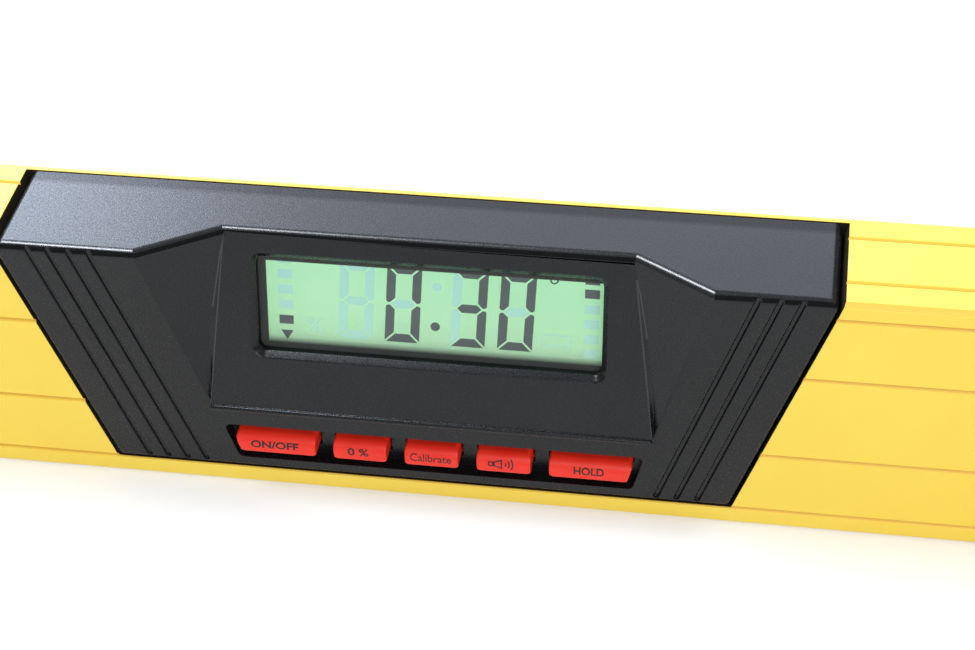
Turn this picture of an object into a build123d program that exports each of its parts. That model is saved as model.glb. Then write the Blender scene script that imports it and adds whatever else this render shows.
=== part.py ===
from build123d import *
import math
import os

# Digital spirit level: a box-section rail with a display module let into its front and top.
# Millimetres. +X runs along the rail, -Y is the face with the display, +Z is up.
# The origin is the centre of the measuring base, straight under the middle of the display.

# Rail
overall_length = 600.0
rail_width = 26.0
rail_height = 60.0
side_wall = 2.0
web = 4.0
rail_inner_radius = 1.5
top_chamfer = 1.0
base_chamfer = 0.4
rail_groove_depth = 0.5
top_groove_inset = 6.5
side_groove_spacing = 21.0
flange_groove_height = 4.2

# End caps
cap_thickness = 6.0
cap_inset = 0.3
cap_corner_radius = 2.2
cap_edge_radius = 1.5
cap_plug_length = 14.0
cap_plug_wall = 2.5
cap_fit = 0.15
cap_rib_count = 3
cap_rib_width = 2.0
cap_rib_pitch = 12.0
cap_rib_depth = 0.8

# Module outline, as seen from the front, measured from the middle of the display
module_top_left = 84.2
module_top_right = 79.0
module_bottom_left = 67.0
module_bottom_right = 60.2
module_gap = 0.6
module_corner_radius = 1.5
case_wall = 2.0
case_edge_radius = 0.8
rim_radius = 1.7
cover_thickness = 1.8
cover_gap = 0.4

# Diagonal grooves on the wings of the module, at the top edge, from the middle of the display
left_groove_count = 4
right_groove_count = 3
wing_groove_first_left = 64.9
wing_groove_first_right = 64.0
wing_groove_pitch = 4.12
wing_groove_width = 1.3
wing_groove_floor = 0.7
wing_groove_depth = 0.6
wing_groove_end = 0.7

# Display bay: a tilted panel between two triangular flanks
bay_half_top = 55.9
panel_half_top = 39.9
panel_half_bottom = 44.8
panel_bottom = 22.2
panel_setback = 9.45
panel_proud = 1.25
panel_wall = 3.0
panel_edge_radius = 0.6
panel_lip_radius = 0.6
panel_lip_drop = 0.2
flank_drop = 0.8

# Window opening in the panel
opening_width = 68.5
opening_height = 20.4
opening_drop = 5.8
opening_radius = 1.5
opening_bevel = 1.2

# Display stack behind the panel
stack_border = 2.6
stack_fit = 0.3
window_thickness = 1.5
glass_thickness = 2.0
backlight_thickness = 2.2
frame_wall = 1.4
strip_width = 1.6
strip_end = 5.0
board_thickness = 1.2
board_tray_gap = 2.0
board_boss_radius = 2.2
board_boss_gap = 1.25
board_boss_inset = 2.4
board_boss_drop = 3.5
board_corner_radius = 1.0

# Button recess and buttons
recess_bottom = 7.1
recess_height = 9.0
recess_half_top = 43.1
recess_half_bottom = 40.7
recess_radius = 1.2
recess_depth = 3.0
recess_floor = 1.5
key_width = 11.1
key_pitch = 14.8
key_outer_start = 24.0
key_end_margin = 1.6
key_height = 4.4
key_lift = 0.35
key_proud = 1.15
key_top_radius = 2.4
key_low_radius = 0.6
key_corner_radius = 0.9
key_hole_gap = 0.3
key_flange = 0.8
key_rest_gap = 0.05
key_travel = 0.8

# Switches behind the buttons
switch_size = 6.0
switch_height = 2.0
switch_floor = 0.3
plunger_radius = 1.7
plunger_fit = 0.06
plunger_reach = 1.0
plunger_seat = 0.6
key_board_half = 48.6
key_board_height = 9.6
key_boss_x = 46.0
key_boss_radius = 2.5

# Electronics on the boards
chip_size = 12.0
chip_thickness = 1.6
sensor_size = 10.0
sensor_thickness = 2.6
crystal_radius = 1.5
crystal_length = 7.0
capacitor_radius = 2.0
capacitor_height = 3.0
ribbon_width = 12.0
ribbon_thickness = 0.3
ribbon_gap = 0.6
ribbon_overlap = 3.0
buzzer_radius = 6.0
buzzer_height = 4.0
buzzer_hole = 1.2
buzzer_x = 58.0
buzzer_drop = 25.0
buzzer_wall = 1.2

# Batteries, tray and door
cell_radius = 5.25
cell_length = 44.5
cell_nub_radius = 1.9
cell_nub = 1.0
cell_gap = 0.4
tray_end = 2.5
tray_wall = 1.2
contact_thickness = 0.5
contact_size = 8.0
contact_stud_radius = 1.8
contact_spring_radius = 3.2
contact_tab_width = 3.0
contact_tab_length = 2.0
contact_fit = 0.1
lead_radius = 0.5
lead_rise = 2.5
lead_pitch = 3.5
battery_lead_x = 31.0
buzzer_lead_x = 36.0
door_margin_x = 4.0
door_margin_z = 1.4
door_fit = 0.2
door_radius = 2.0
door_thickness = 1.8
door_rib = 0.6
door_rib_width = 1.2
door_grip_count = 4
door_grip_pitch = 2.4
door_grip_width = 1.0
door_grip_depth = 0.5
door_grip_length = 14.0
door_tab_width = 5.0
door_tab_reach = 3.0
door_tab_thickness = 1.0
door_tab_gap = 0.2
door_tab_spread = 14.0

# Screws
case_screw_radius = 1.25
case_screw_length = 10.0
case_boss_radius = 3.0
case_boss_inset_x = 8.0
case_boss_inset_z = 7.2
module_screw_radius = 1.5
module_screw_length = 8.0
module_boss_radius = 3.4
module_boss_length = 6.0
module_screw_top_x = 64.0
module_screw_top_drop = 13.0
module_screw_low_x = 48.0
module_screw_low_z = 24.0
head_ratio = 1.85
screw_fit = 0.2
small_screw_radius = 0.9
small_screw_length = 5.0
small_head_radius = 1.7
small_head_height = 1.0

# Vials
tube_radius = 6.0
bore_radius = 4.5
tube_length = 36.0
plug_length = 3.0
ring_width = 0.6
ring_height = 0.25
ring_spacing = 10.5
bubble_radius = 2.3
bubble_length = 10.0
bubble_drop = 1.6
bubble_depth = 3.2
meniscus_ratio = 1.2
tube_fit = 0.1
holder_fit = 0.15
holder_end = 8.0
holder_bar = 4.0
level_vial_inset = 135.0
level_slot_half = 5.0
level_slot_bar = 3.0
plumb_vial_inset = 68.0
plumb_side_bar = 7.5
plumb_radius = 4.0
plumb_view_radius = 1.5

# Cutters run past the face they cut by this much
overshoot = 1.0

# Planes and places that follow from the sizes above
front = -rail_width / 2
rear = rail_width / 2
rail_length = overall_length - 2 * cap_thickness
inner_rear = rear - side_wall
module_bottom = web + module_gap
cover_back = inner_rear - cover_gap
parting = cover_back - cover_thickness
panel_slope = math.atan2(panel_setback + panel_proud, rail_height - panel_bottom)
panel_length = (rail_height - panel_bottom) / math.cos(panel_slope)
panel_plane = Plane(
    origin=(0, front - panel_proud, panel_bottom),
    x_dir=(1, 0, 0),
    z_dir=(0, -math.cos(panel_slope), math.sin(panel_slope)),
)
opening_rise = panel_length - opening_drop - opening_height
opening_middle = opening_rise + opening_height / 2
window_depth = panel_wall
glass_depth = window_depth + window_thickness
backlight_depth = glass_depth + glass_thickness
main_board_depth = backlight_depth + backlight_thickness
main_board_back = main_board_depth + board_thickness
stack_width = opening_width + 2 * stack_border
stack_height = opening_height + 2 * stack_border
stack_top = opening_middle + stack_height / 2
recess_top = recess_bottom + recess_height
key_middle = recess_bottom + recess_height / 2 + key_lift
key_back = recess_depth + recess_floor + key_rest_gap + key_flange
switch_front = front + key_back + plunger_reach
key_board_front = switch_front + switch_height
key_board_back = key_board_front + board_thickness
cell_pitch = 2 * cell_radius + cell_gap
tray_half_x = cell_length / 2 + tray_end
tray_half_z = cell_pitch / 2 + cell_radius + cell_gap
tray_middle = module_bottom + case_wall + stack_fit + tray_wall + tray_half_z
tray_top = tray_middle + tray_half_z + tray_wall
cell_y = cover_back - cell_gap - cell_radius
tray_floor = cell_y - cell_radius - cell_gap
buzzer_z = rail_height - buzzer_drop
main_board_lean = main_board_back * math.sin(panel_slope)
main_board_rise = (tray_top + board_tray_gap - panel_bottom + main_board_lean) / math.cos(panel_slope)
main_board_top = stack_top + frame_wall
main_board_middle = (main_board_rise + main_board_top) / 2
board_boss_x = stack_width / 2 + stack_fit + frame_wall + board_boss_gap + board_boss_radius
main_board_half = board_boss_x + board_boss_inset
ribbon_x = -tray_half_x - tray_wall - ribbon_gap - ribbon_width / 2
door_half_x = tray_half_x + door_margin_x
door_half_z = tray_half_z + door_margin_z
vial_pocket_depth = 2 * tube_radius + 2 * holder_bar + level_slot_bar
level_vial_x = overall_length / 2 - level_vial_inset
level_vial_z = rail_height - level_slot_bar - holder_bar / 2 - tube_radius
level_half = tube_length / 2 + holder_bar
plumb_half_x = tube_radius + plumb_side_bar
plumb_half_z = tube_length / 2 + holder_bar
plumb_vial_x = plumb_vial_inset - overall_length / 2
plumb_vial_z = rail_height / 2


def slab(sketch, y_from, y_to):
    """Extrude a front-view sketch between two depths."""
    return extrude(Plane.XZ.offset(-y_to) * sketch, amount=y_to - y_from)


def block(x, y, z):
    """Make a box from its low and high value on each axis."""
    centre = [(low + high) / 2 for low, high in (x, y, z)]
    size = [high - low for low, high in (x, y, z)]
    return Pos(*centre) * Box(*size)


def rod_y(x, z, radius, y_from, y_to):
    """Make a round bar along Y."""
    return Pos(x, (y_from + y_to) / 2, z) * Rot(90, 0, 0) * Cylinder(radius, y_to - y_from)


def half_space(box, plane):
    """Keep the part of a box on the side that the plane's normal points to."""
    return split(box, bisect_by=plane, keep=Keep.TOP)


def on_panel(sketch, depth_from, depth_to):
    """Extrude a sketch drawn on the panel, between two depths behind its face."""
    return extrude(panel_plane.offset(-depth_to) * sketch, amount=depth_to - depth_from)


def panel_rectangle(width, low, high, radius=0.0):
    """Draw a rectangle on the panel, from its distances above the panel's lower edge."""
    shape = RectangleRounded(width, high - low, radius) if radius else Rectangle(width, high - low)
    return Pos(0, (low + high) / 2) * shape


# Rail and end caps

def rail_outline():
    """Draw the outside of the rail's section, without its grooves."""
    outline = Pos(0, rail_height / 2) * Rectangle(rail_width, rail_height)
    corners = outline.vertices().group_by(Axis.Y)
    outline = chamfer(corners[-1], top_chamfer)
    return chamfer(outline.vertices().group_by(Axis.Y)[0], base_chamfer)


def rail_bore(inset=0.0):
    """Draw the hollow of the rail's section."""
    width = rail_width - 2 * side_wall - 2 * inset
    height = rail_height - 2 * web - 2 * inset
    return Pos(0, rail_height / 2) * RectangleRounded(width, height, rail_inner_radius)


def rail_section():
    """Draw the rail's section with its fine grooves."""
    section = rail_outline() - rail_bore()
    edge = rail_groove_depth * math.sqrt(2)
    middle = rail_height / 2
    levels = [middle - side_groove_spacing / 2, middle + side_groove_spacing / 2]
    levels += [flange_groove_height, rail_height - flange_groove_height]
    places = [(side * rear, level) for side in (-1, 1) for level in levels]
    places += [(side * (rear - top_groove_inset), rail_height) for side in (-1, 1)]
    for place in places:
        section -= Pos(*place) * Rot(0, 0, 45) * Rectangle(edge, edge)
    return section


def module_outline(inset=0.0):
    """Draw the module's outline, as seen from the front."""
    outline = Polygon(
        (-module_top_left, rail_height),
        (-module_bottom_left, module_bottom),
        (module_bottom_right, module_bottom),
        (module_top_right, rail_height),
        align=None,
    )
    return offset(outline, -inset, kind=Kind.INTERSECTION) if inset else outline


def screw_places():
    """Give the places of the screws that hold the module to the rail."""
    top_z = rail_height - module_screw_top_drop
    tops = [(side * module_screw_top_x, top_z) for side in (-1, 1)]
    lows = [(side * module_screw_low_x, module_screw_low_z) for side in (-1, 1)]
    return tops + lows


def countersink(x, z, radius, y_head, y_tip, fit=0.0):
    """Make a countersunk screw shape whose flat head faces +Y; fit widens the shank's hole only."""
    head = radius * (head_ratio - 1)
    cone = Pos(x, y_head - head / 2, z) * Rot(-90, 0, 0) * Cone(radius, radius * head_ratio, head)
    return cone + rod_y(x, z, radius + fit, y_tip, y_head - head + fit)


def make_level_rail():
    """Box section, cut for the module, the vials, the battery door and the module's screws."""
    rail = extrude(Plane.YZ * rail_section(), amount=rail_length / 2, both=True)
    rail -= slab(module_outline(-module_gap), front - overshoot, inner_rear)
    door = Pos(0, tray_middle) * RectangleRounded(2 * door_half_x, 2 * door_half_z, door_radius)
    rail -= slab(door, inner_rear - overshoot, rear + overshoot)
    for x, z in screw_places():
        rail -= countersink(x, z, module_screw_radius, rear, inner_rear - overshoot, screw_fit)
    rail -= block(
        (level_vial_x - level_half, level_vial_x + level_half),
        (front - overshoot, rear + overshoot),
        (rail_height - vial_pocket_depth, rail_height + overshoot),
    )
    plumb = RectangleRounded(2 * plumb_half_x, 2 * plumb_half_z, plumb_radius)
    return rail - slab(Pos(plumb_vial_x, plumb_vial_z) * plumb, front - overshoot, rear + overshoot)


def make_end_cap(side):
    """Moulded cap with a hollow plug; side is -1 for the left end and 1 for the right."""
    outline = RectangleRounded(rail_width - 2 * cap_inset, rail_height - 2 * cap_inset, cap_corner_radius)
    cap = extrude(Plane.YZ * Pos(0, rail_height / 2) * outline, amount=cap_thickness)
    cap = fillet(cap.faces().sort_by(Axis.X)[-1].edges(), cap_edge_radius)
    for row in range(cap_rib_count):
        z = rail_height / 2 + (row - (cap_rib_count - 1) / 2) * cap_rib_pitch
        cap -= block(
            (cap_thickness - cap_rib_depth, cap_thickness + overshoot),
            (front - overshoot, rear + overshoot),
            (z - cap_rib_width / 2, z + cap_rib_width / 2),
        )
    plug = rail_bore(cap_fit) - rail_bore(cap_fit + cap_plug_wall)
    cap += extrude(Plane.YZ * plug, amount=-cap_plug_length)
    turn = Rot(0, 0, 0) if side > 0 else Rot(0, 0, 180)
    return turn * Pos(rail_length / 2, 0, 0) * cap


# Display module

def bay(flank_wall=0.0, floor_wall=0.0):
    """Make the space in front of the bay's floor and between its flanks, grown by the walls behind them."""
    floor_low = Vector(0, front, panel_bottom - flank_drop)
    floor_high = Vector(0, front + panel_setback, rail_height)
    rise = (floor_high - floor_low).normalized()
    floor = Plane(origin=floor_low, x_dir=(1, 0, 0), z_dir=Vector(1, 0, 0).cross(rise))
    space = block(
        (-bay_half_top - case_wall, bay_half_top + case_wall),
        (front - rail_width, front + 2 * panel_setback),
        (panel_bottom - 2 * flank_drop - panel_wall, rail_height + rail_width),
    )
    space = half_space(space, floor.offset(-floor_wall))
    for side in (-1, 1):
        outer = Vector(side * bay_half_top, front, rail_height)
        inner = Vector(side * panel_half_top, front + panel_setback, rail_height)
        low = Vector(side * panel_half_bottom, front, panel_bottom - flank_drop)
        normal = (inner - outer).cross(low - outer).normalized() * side
        space = half_space(space, Plane(origin=outer - normal * flank_wall, z_dir=normal))
    return space


def panel_plate(thickness):
    """Make the tilted panel as a plate that stands proud at its lower edge and ends under the rounded rim."""
    top = panel_length - rim_radius
    half_top = panel_half_bottom - (panel_half_bottom - panel_half_top) * top / panel_length
    outline = Polygon(
        (-panel_half_bottom, 0), (panel_half_bottom, 0), (half_top, top), (-half_top, top), align=None
    )
    plate = on_panel(outline, 0, thickness)
    return fillet(plate.faces().sort_by(Axis.Y)[0].edges(), panel_edge_radius)


def panel_lip():
    """Make the round lip along the panel's lower edge."""
    run = 2 * (panel_half_bottom - panel_lip_radius)
    lip = Rot(0, 90, 0) * Cylinder(panel_lip_radius, run)
    for end in (-run / 2, run / 2):
        lip += Pos(end, 0, 0) * Sphere(panel_lip_radius)
    return panel_plane * Pos(0, -panel_lip_drop, 0) * lip


def recess_outline(margin=0.0):
    """Draw the button recess, as seen from the front."""
    outline = Polygon(
        (-recess_half_top, recess_top),
        (-recess_half_bottom, recess_bottom),
        (recess_half_bottom, recess_bottom),
        (recess_half_top, recess_top),
        align=None,
    )
    if margin:
        outline = offset(outline, margin, kind=Kind.INTERSECTION)
    return fillet(outline.vertices(), recess_radius)


def key_outline(index, margin=0.0):
    """Draw one button from the front: 0 and 4 are the wide outer ones, 1 to 3 the small ones."""
    low = key_middle - key_height / 2
    high = key_middle + key_height / 2
    if 0 < index < 4:
        middle = (index - 2) * key_pitch
        outline = Pos(middle, key_middle) * Rectangle(key_width, key_height)
    else:
        side = -1 if index == 0 else 1
        slope = (recess_half_top - recess_half_bottom) / recess_height
        end_low = recess_half_bottom + slope * (low - recess_bottom) - key_end_margin
        end_high = recess_half_bottom + slope * (high - recess_bottom) - key_end_margin
        corners = [
            (side * key_outer_start, low),
            (side * end_low, low),
            (side * end_high, high),
            (side * key_outer_start, high),
        ]
        outline = Polygon(*corners[::side], align=None)
    if margin:
        outline = offset(outline, margin, kind=Kind.INTERSECTION)
    return outline


def key_centre(index):
    """Give the distance of a button's switch from the middle of the display."""
    if 0 < index < 4:
        return (index - 2) * key_pitch
    side = -1 if index == 0 else 1
    return side * (key_outer_start + recess_half_bottom - key_end_margin) / 2


def wing_groove(side, number):
    """Make the cutter of one diagonal groove, parallel to the module's slanted edge, closed at its foot."""
    first = wing_groove_first_left if side < 0 else wing_groove_first_right
    top_edge = module_top_left if side < 0 else module_top_right
    low_edge = module_bottom_left if side < 0 else module_bottom_right
    top = Vector(side * (first + number * wing_groove_pitch), front, rail_height)
    along = Vector(side * (top_edge - low_edge), 0, rail_height - module_bottom).normalized()
    profile = Polygon(
        (-wing_groove_width / 2, -wing_groove_depth),
        (wing_groove_width / 2, -wing_groove_depth),
        (wing_groove_width / 2, 0),
        (wing_groove_floor / 2, wing_groove_depth),
        (-wing_groove_floor / 2, wing_groove_depth),
        (-wing_groove_width / 2, 0),
        align=None,
    )
    across = Plane(origin=top + along * rail_width, x_dir=Vector(0, 1, 0).cross(along), z_dir=along)
    length = (rail_height - module_bottom - wing_groove_end) / along.Z + rail_width
    return extrude(across * profile, amount=-length)


def case_boss_places():
    """Give the places of the screws that close the module's case."""
    high = rail_height - case_boss_inset_z
    low = module_bottom + case_boss_inset_z
    return [
        (-module_top_left + case_boss_inset_x + case_wall, high),
        (module_top_right - case_boss_inset_x - case_wall, high),
        (-module_bottom_left + case_boss_inset_x, low),
        (module_bottom_right - case_boss_inset_x, low),
    ]


def board_boss_places():
    """Give the places of the main board's screws: across, and up the panel."""
    rises = (main_board_rise + board_boss_inset, main_board_top - board_boss_drop)
    return [(side * board_boss_x, rise) for side in (-1, 1) for rise in rises]


def rim_edges(shell):
    """Pick the edges round the top face, apart from the rear one."""
    top = shell.faces().sort_by(Axis.Z)[-1]
    return top.edges().sort_by(Axis.Y)[:-1]


def wing_edges(shell):
    """Pick the upright edges of the front face."""
    face = shell.faces().sort_by(Axis.Y)[0]
    return face.edges().filter_by(lambda edge: edge.bounding_box().size.Z > panel_setback)


def top_lip():
    """Make the back of the housing's top wall, which reaches over the cover's upper edge."""
    band = Pos(0, rail_height - case_wall / 2) * Rectangle(overall_length, case_wall)
    return slab(module_outline() & band, parting, cover_back)


def housing_block():
    """Make the outside of the housing: bay, tilted panel and diagonal grooves."""
    outline = fillet(module_outline().vertices().group_by(Axis.Y)[0], module_corner_radius)
    shell = slab(outline, front, parting) + top_lip() - bay()
    shell = fillet(rim_edges(shell), rim_radius)
    shell = fillet(wing_edges(shell), case_edge_radius)
    shell += panel_plate(panel_wall) + panel_lip()
    for side, count in ((-1, left_groove_count), (1, right_groove_count)):
        for number in range(count):
            shell -= wing_groove(side, number)
    return shell


def housing_hollow():
    """Make the inside of the housing, less the walls, bosses and tub that stand in it."""
    hollow = slab(module_outline(case_wall), front + case_wall, parting)
    hollow -= bay(case_wall, panel_wall - panel_proud)
    hollow -= panel_plate(panel_wall)
    hollow -= slab(recess_outline(recess_floor), front, front + recess_depth + recess_floor)
    for x, z in case_boss_places():
        hollow -= rod_y(x, z, case_boss_radius, front, parting)
    for side in (-1, 1):
        hollow -= rod_y(side * key_boss_x, key_middle, key_boss_radius, front, key_board_front)
    for x, rise in board_boss_places():
        hollow -= on_panel(Pos(x, rise) * Circle(board_boss_radius), -2 * panel_wall, main_board_depth)
    return hollow


def window_cutters():
    """Make the cutters of the window opening and of the bevel round it."""
    high = opening_rise + opening_height
    opening = panel_rectangle(opening_width, opening_rise, high, opening_radius)
    bevel = panel_rectangle(
        opening_width + 2 * opening_bevel,
        opening_rise - opening_bevel,
        high + opening_bevel,
        opening_radius + opening_bevel,
    )
    return [
        on_panel(opening, -overshoot, panel_wall + overshoot),
        extrude(panel_plane * bevel, amount=-opening_bevel, taper=45),
    ]


def pilot_cutters():
    """Make the cutters of the screw holes in the housing's bosses."""
    cutters = []
    for x, z in case_boss_places():
        cutters.append(rod_y(x, z, case_screw_radius, parting - case_screw_length, parting))
    for side in (-1, 1):
        low = key_board_front - small_screw_length
        cutters.append(rod_y(side * key_boss_x, key_middle, small_screw_radius, low, key_board_front))
    for x, rise in board_boss_places():
        pilot = Pos(x, rise) * Circle(small_screw_radius)
        cutters.append(on_panel(pilot, main_board_depth - small_screw_length, main_board_depth))
    return cutters


def make_front_housing():
    """Moulded shell: tilted display panel between flanks, diagonal grooves, button recess and bosses."""
    shell = housing_block()
    shell -= housing_hollow()
    shell -= slab(recess_outline(), front - overshoot, front + recess_depth)
    floor_back = front + recess_depth + recess_floor
    for index in range(5):
        shell -= slab(key_outline(index, key_hole_gap), front, floor_back + overshoot)
    for cutter in pilot_cutters() + window_cutters():
        shell -= cutter
    return shell


def make_rear_cover():
    """Back plate of the module with the battery tray, the buzzer's ring and the screw bosses."""
    outline = fillet(module_outline().vertices().group_by(Axis.Y)[0], module_corner_radius)
    cover = slab(outline, parting, cover_back) - top_lip()
    tray = Rectangle(2 * tray_half_x + 2 * tray_wall, 2 * tray_half_z + 2 * tray_wall)
    cover += slab(Pos(0, tray_middle) * tray, tray_floor - tray_wall, parting)
    for x, z in screw_places():
        cover += rod_y(x, z, module_boss_radius, parting - module_boss_length, parting)
        cover += rod_y(x, z, module_boss_radius, cover_back, inner_rear)
    ring_inside = buzzer_radius + screw_fit
    ring = rod_y(buzzer_x, buzzer_z, ring_inside + buzzer_wall, parting - buzzer_height, parting)
    ring -= rod_y(buzzer_x, buzzer_z, ring_inside, parting - buzzer_height - overshoot, parting)
    cover += ring
    cell_space = Pos(0, tray_middle) * Rectangle(2 * tray_half_x, 2 * tray_half_z)
    cover -= slab(cell_space, tray_floor, cover_back + overshoot)
    for x, z in screw_places():
        cover -= rod_y(x, z, module_screw_radius, rear - module_screw_length, rear)
    for x, z in case_boss_places():
        cover -= countersink(x, z, case_screw_radius, cover_back, parting - overshoot, screw_fit)
    for turn in (-1, 1):
        cover -= contact_tab(turn, contact_fit)
        cover -= hook_slot(turn)
    return cover


def hook_slot(place):
    """Make the slot in the cover that one hook of the battery door swings in."""
    z = tray_middle + place * door_tab_spread / 2
    half = door_tab_width / 2 + door_fit
    return block(
        (-door_half_x - door_tab_reach - door_fit, -tray_half_x - tray_wall),
        (parting - overshoot, cover_back + overshoot),
        (z - half, z + half),
    )


def contact_tab(turn, fit=0.0):
    """Make the solder tab of one contact, through the tray's right-hand end wall."""
    z = tray_middle + turn * cell_pitch / 2
    half_y = contact_tab_width / 2 + fit
    half_z = contact_thickness / 2 + fit
    return block(
        (tray_half_x - contact_thickness, tray_half_x + tray_wall + contact_tab_length),
        (cell_y - half_y, cell_y + half_y),
        (z - half_z, z + half_z),
    )


# Display stack

def make_display_window():
    """Clear window bonded behind the opening."""
    return on_panel(
        panel_rectangle(stack_width, opening_middle - stack_height / 2, stack_top, opening_radius),
        window_depth,
        glass_depth,
    )


def make_lcd_glass():
    """Liquid-crystal cell: front glass, and a rear glass that stops short of the contact ledge."""
    low = opening_middle - stack_height / 2
    ledge = stack_top - strip_width - stack_fit
    middle = glass_depth + glass_thickness / 2
    front_glass = on_panel(panel_rectangle(stack_width, low, stack_top), glass_depth, middle)
    return front_glass + on_panel(panel_rectangle(stack_width, low, ledge), middle, backlight_depth)


def make_zebra_strip():
    """Striped rubber strip that joins the glass to the main board."""
    strip = panel_rectangle(stack_width - 2 * strip_end, stack_top - strip_width, stack_top)
    return on_panel(strip, glass_depth + glass_thickness / 2, main_board_depth)


def make_backlight_panel():
    """Light guide behind the glass."""
    low = opening_rise - stack_fit
    high = stack_top - strip_width - stack_fit
    return on_panel(panel_rectangle(stack_width, low, high), backlight_depth, main_board_depth)


def make_lcd_frame():
    """Frame round the display stack, from the panel back to the main board."""
    low = opening_middle - stack_height / 2 - stack_fit
    high = stack_top + stack_fit
    width = stack_width + 2 * stack_fit
    inner = panel_rectangle(width, low, high)
    outer = panel_rectangle(width + 2 * frame_wall, low - frame_wall, high + frame_wall)
    return on_panel(outer - inner, panel_wall, main_board_depth)


# Boards and electronics

def make_main_board():
    """Board behind the display, held by four screws."""
    outline = panel_rectangle(2 * main_board_half, main_board_rise, main_board_top, board_corner_radius)
    for x, rise in board_boss_places():
        outline -= Pos(x, rise) * Circle(small_screw_radius + screw_fit)
    return on_panel(outline, main_board_depth, main_board_back)


def on_main_board(x, rise, width, height, thickness):
    """Make a flat component on the back of the main board."""
    return on_panel(Pos(x, rise) * Rectangle(width, height), main_board_back, main_board_back + thickness)


def make_microcontroller():
    """Square flat package."""
    return on_main_board(-1.5 * chip_size, main_board_middle, chip_size, chip_size, chip_thickness)


def make_tilt_sensor():
    """Sensor package that feels gravity."""
    return on_main_board(sensor_size, main_board_middle, sensor_size, sensor_size, sensor_thickness)


def make_board_parts():
    """Crystal can and two capacitors on the main board."""
    can_x = -2 * chip_size - crystal_radius
    can = on_main_board(can_x, main_board_middle, 2 * crystal_radius, crystal_length, 2 * crystal_radius)
    parts = [can]
    for number in (2, 3):
        place = Pos(number * sensor_size, main_board_middle) * Circle(capacitor_radius)
        parts.append(on_panel(place, main_board_back, main_board_back + capacitor_height))
    return Compound(children=parts)


def make_key_board():
    """Upright board behind the buttons."""
    outline = Pos(0, key_middle) * Rectangle(2 * key_board_half, key_board_height)
    for side in (-1, 1):
        outline -= Pos(side * key_boss_x, key_middle) * Circle(small_screw_radius + screw_fit)
    return slab(outline, key_board_front, key_board_back)


def make_switch_bodies():
    """Five switch bodies, each with the well that its plunger sinks into."""
    bodies = []
    for index in range(5):
        x = key_centre(index)
        body = slab(Pos(x, key_middle) * Rectangle(switch_size, switch_size), switch_front, key_board_front)
        well_end = key_board_front - switch_floor
        well = rod_y(x, key_middle, plunger_radius + plunger_fit, switch_front - overshoot, well_end)
        bodies.append(body - well)
    return Compound(children=bodies)


def make_plunger(index):
    """Round plunger between a button and its switch."""
    return rod_y(key_centre(index), key_middle, plunger_radius, front + key_back, switch_front + plunger_seat)


def make_button(index):
    """Button cap with rounded corners, a large rounding along its brow and a flange behind the floor."""
    face = front - key_proud
    flange_front = front + recess_depth + recess_floor + key_rest_gap
    profile = Pos((face + flange_front) / 2, key_middle) * Rectangle(flange_front - face, key_height)
    profile = fillet(profile.vertices().group_by(Axis.X)[0].sort_by(Axis.Y)[-1], key_top_radius)
    profile = fillet(profile.vertices().group_by(Axis.X)[0].sort_by(Axis.Y)[0], key_low_radius)
    bar = extrude(Plane.YZ * profile, amount=recess_half_top, both=True)
    outline = fillet(key_outline(index).vertices(), key_corner_radius)
    cap = bar & slab(outline, face, flange_front)
    return cap + slab(key_outline(index, key_hole_gap + key_flange), flange_front, front + key_back)


def panel_point(rise, depth):
    """Give the place in the side view (Y, Z) of a point behind the panel."""
    point = panel_plane.from_local_coords(Vector(0, rise, -depth))
    return (point.Y, point.Z)


def make_flex_ribbon():
    """Flat flexible lead from the key board, up beside the battery tray, to the back of the main board."""
    half = ribbon_thickness / 2
    foot_y = key_board_back + half
    head_depth = main_board_back + half
    line = Polyline(
        (foot_y, key_middle),
        (foot_y, key_middle + key_board_height / 2),
        panel_point(main_board_rise - ribbon_gap, head_depth),
        panel_point(main_board_rise + ribbon_overlap, head_depth),
    )
    strip = trace(line, line_width=ribbon_thickness)
    return Pos(ribbon_x, 0, 0) * extrude(Plane.YZ * strip, amount=ribbon_width / 2, both=True)


def make_buzzer():
    """Round sounder in its ring on the rear cover."""
    face = parting - buzzer_height
    can = rod_y(buzzer_x, buzzer_z, buzzer_radius, face, parting)
    return can - rod_y(buzzer_x, buzzer_z, buzzer_hole, face - overshoot, face + buzzer_height / 2)


def lead(start, direction, middle, x, rise):
    """Make a round insulated lead from a place to a point on the back of the main board."""
    end = panel_plane.from_local_coords(Vector(x, rise, -main_board_back))
    path = Spline(start, middle, end, tangents=(direction, panel_plane.z_dir))
    section = Plane(origin=path @ 0, z_dir=path % 0) * Circle(lead_radius)
    return sweep(section, path=path)


def make_battery_leads():
    """Two leads from the solder tabs of the battery contacts to the main board."""
    start_x = tray_half_x + tray_wall + contact_tab_length
    leads = []
    for turn in (-1, 1):
        x = battery_lead_x - (turn - 1) / 2 * lead_pitch
        z = tray_middle + turn * cell_pitch / 2
        middle = (x, cell_y, tray_middle + tray_half_z - lead_pitch * (1 - turn))
        leads.append(lead((start_x, cell_y, z), (1, 0, 0), middle, x, main_board_rise + lead_rise))
    return Compound(children=leads)


def make_buzzer_leads():
    """Two leads from the sounder to the main board."""
    face = parting - buzzer_height
    leads = []
    for turn in (-1, 1):
        start = (buzzer_x - buzzer_radius / 2, face, buzzer_z + turn * lead_pitch)
        middle_z = buzzer_z + 2 * lead_rise + turn * lead_pitch / 2
        middle = (main_board_half + lead_pitch, face - 2 * lead_radius, middle_z)
        rise = main_board_middle + turn * lead_pitch / 2
        leads.append(lead(start, (0, -1, 0), middle, buzzer_lead_x, rise))
    return Compound(children=leads)


# Batteries

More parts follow.
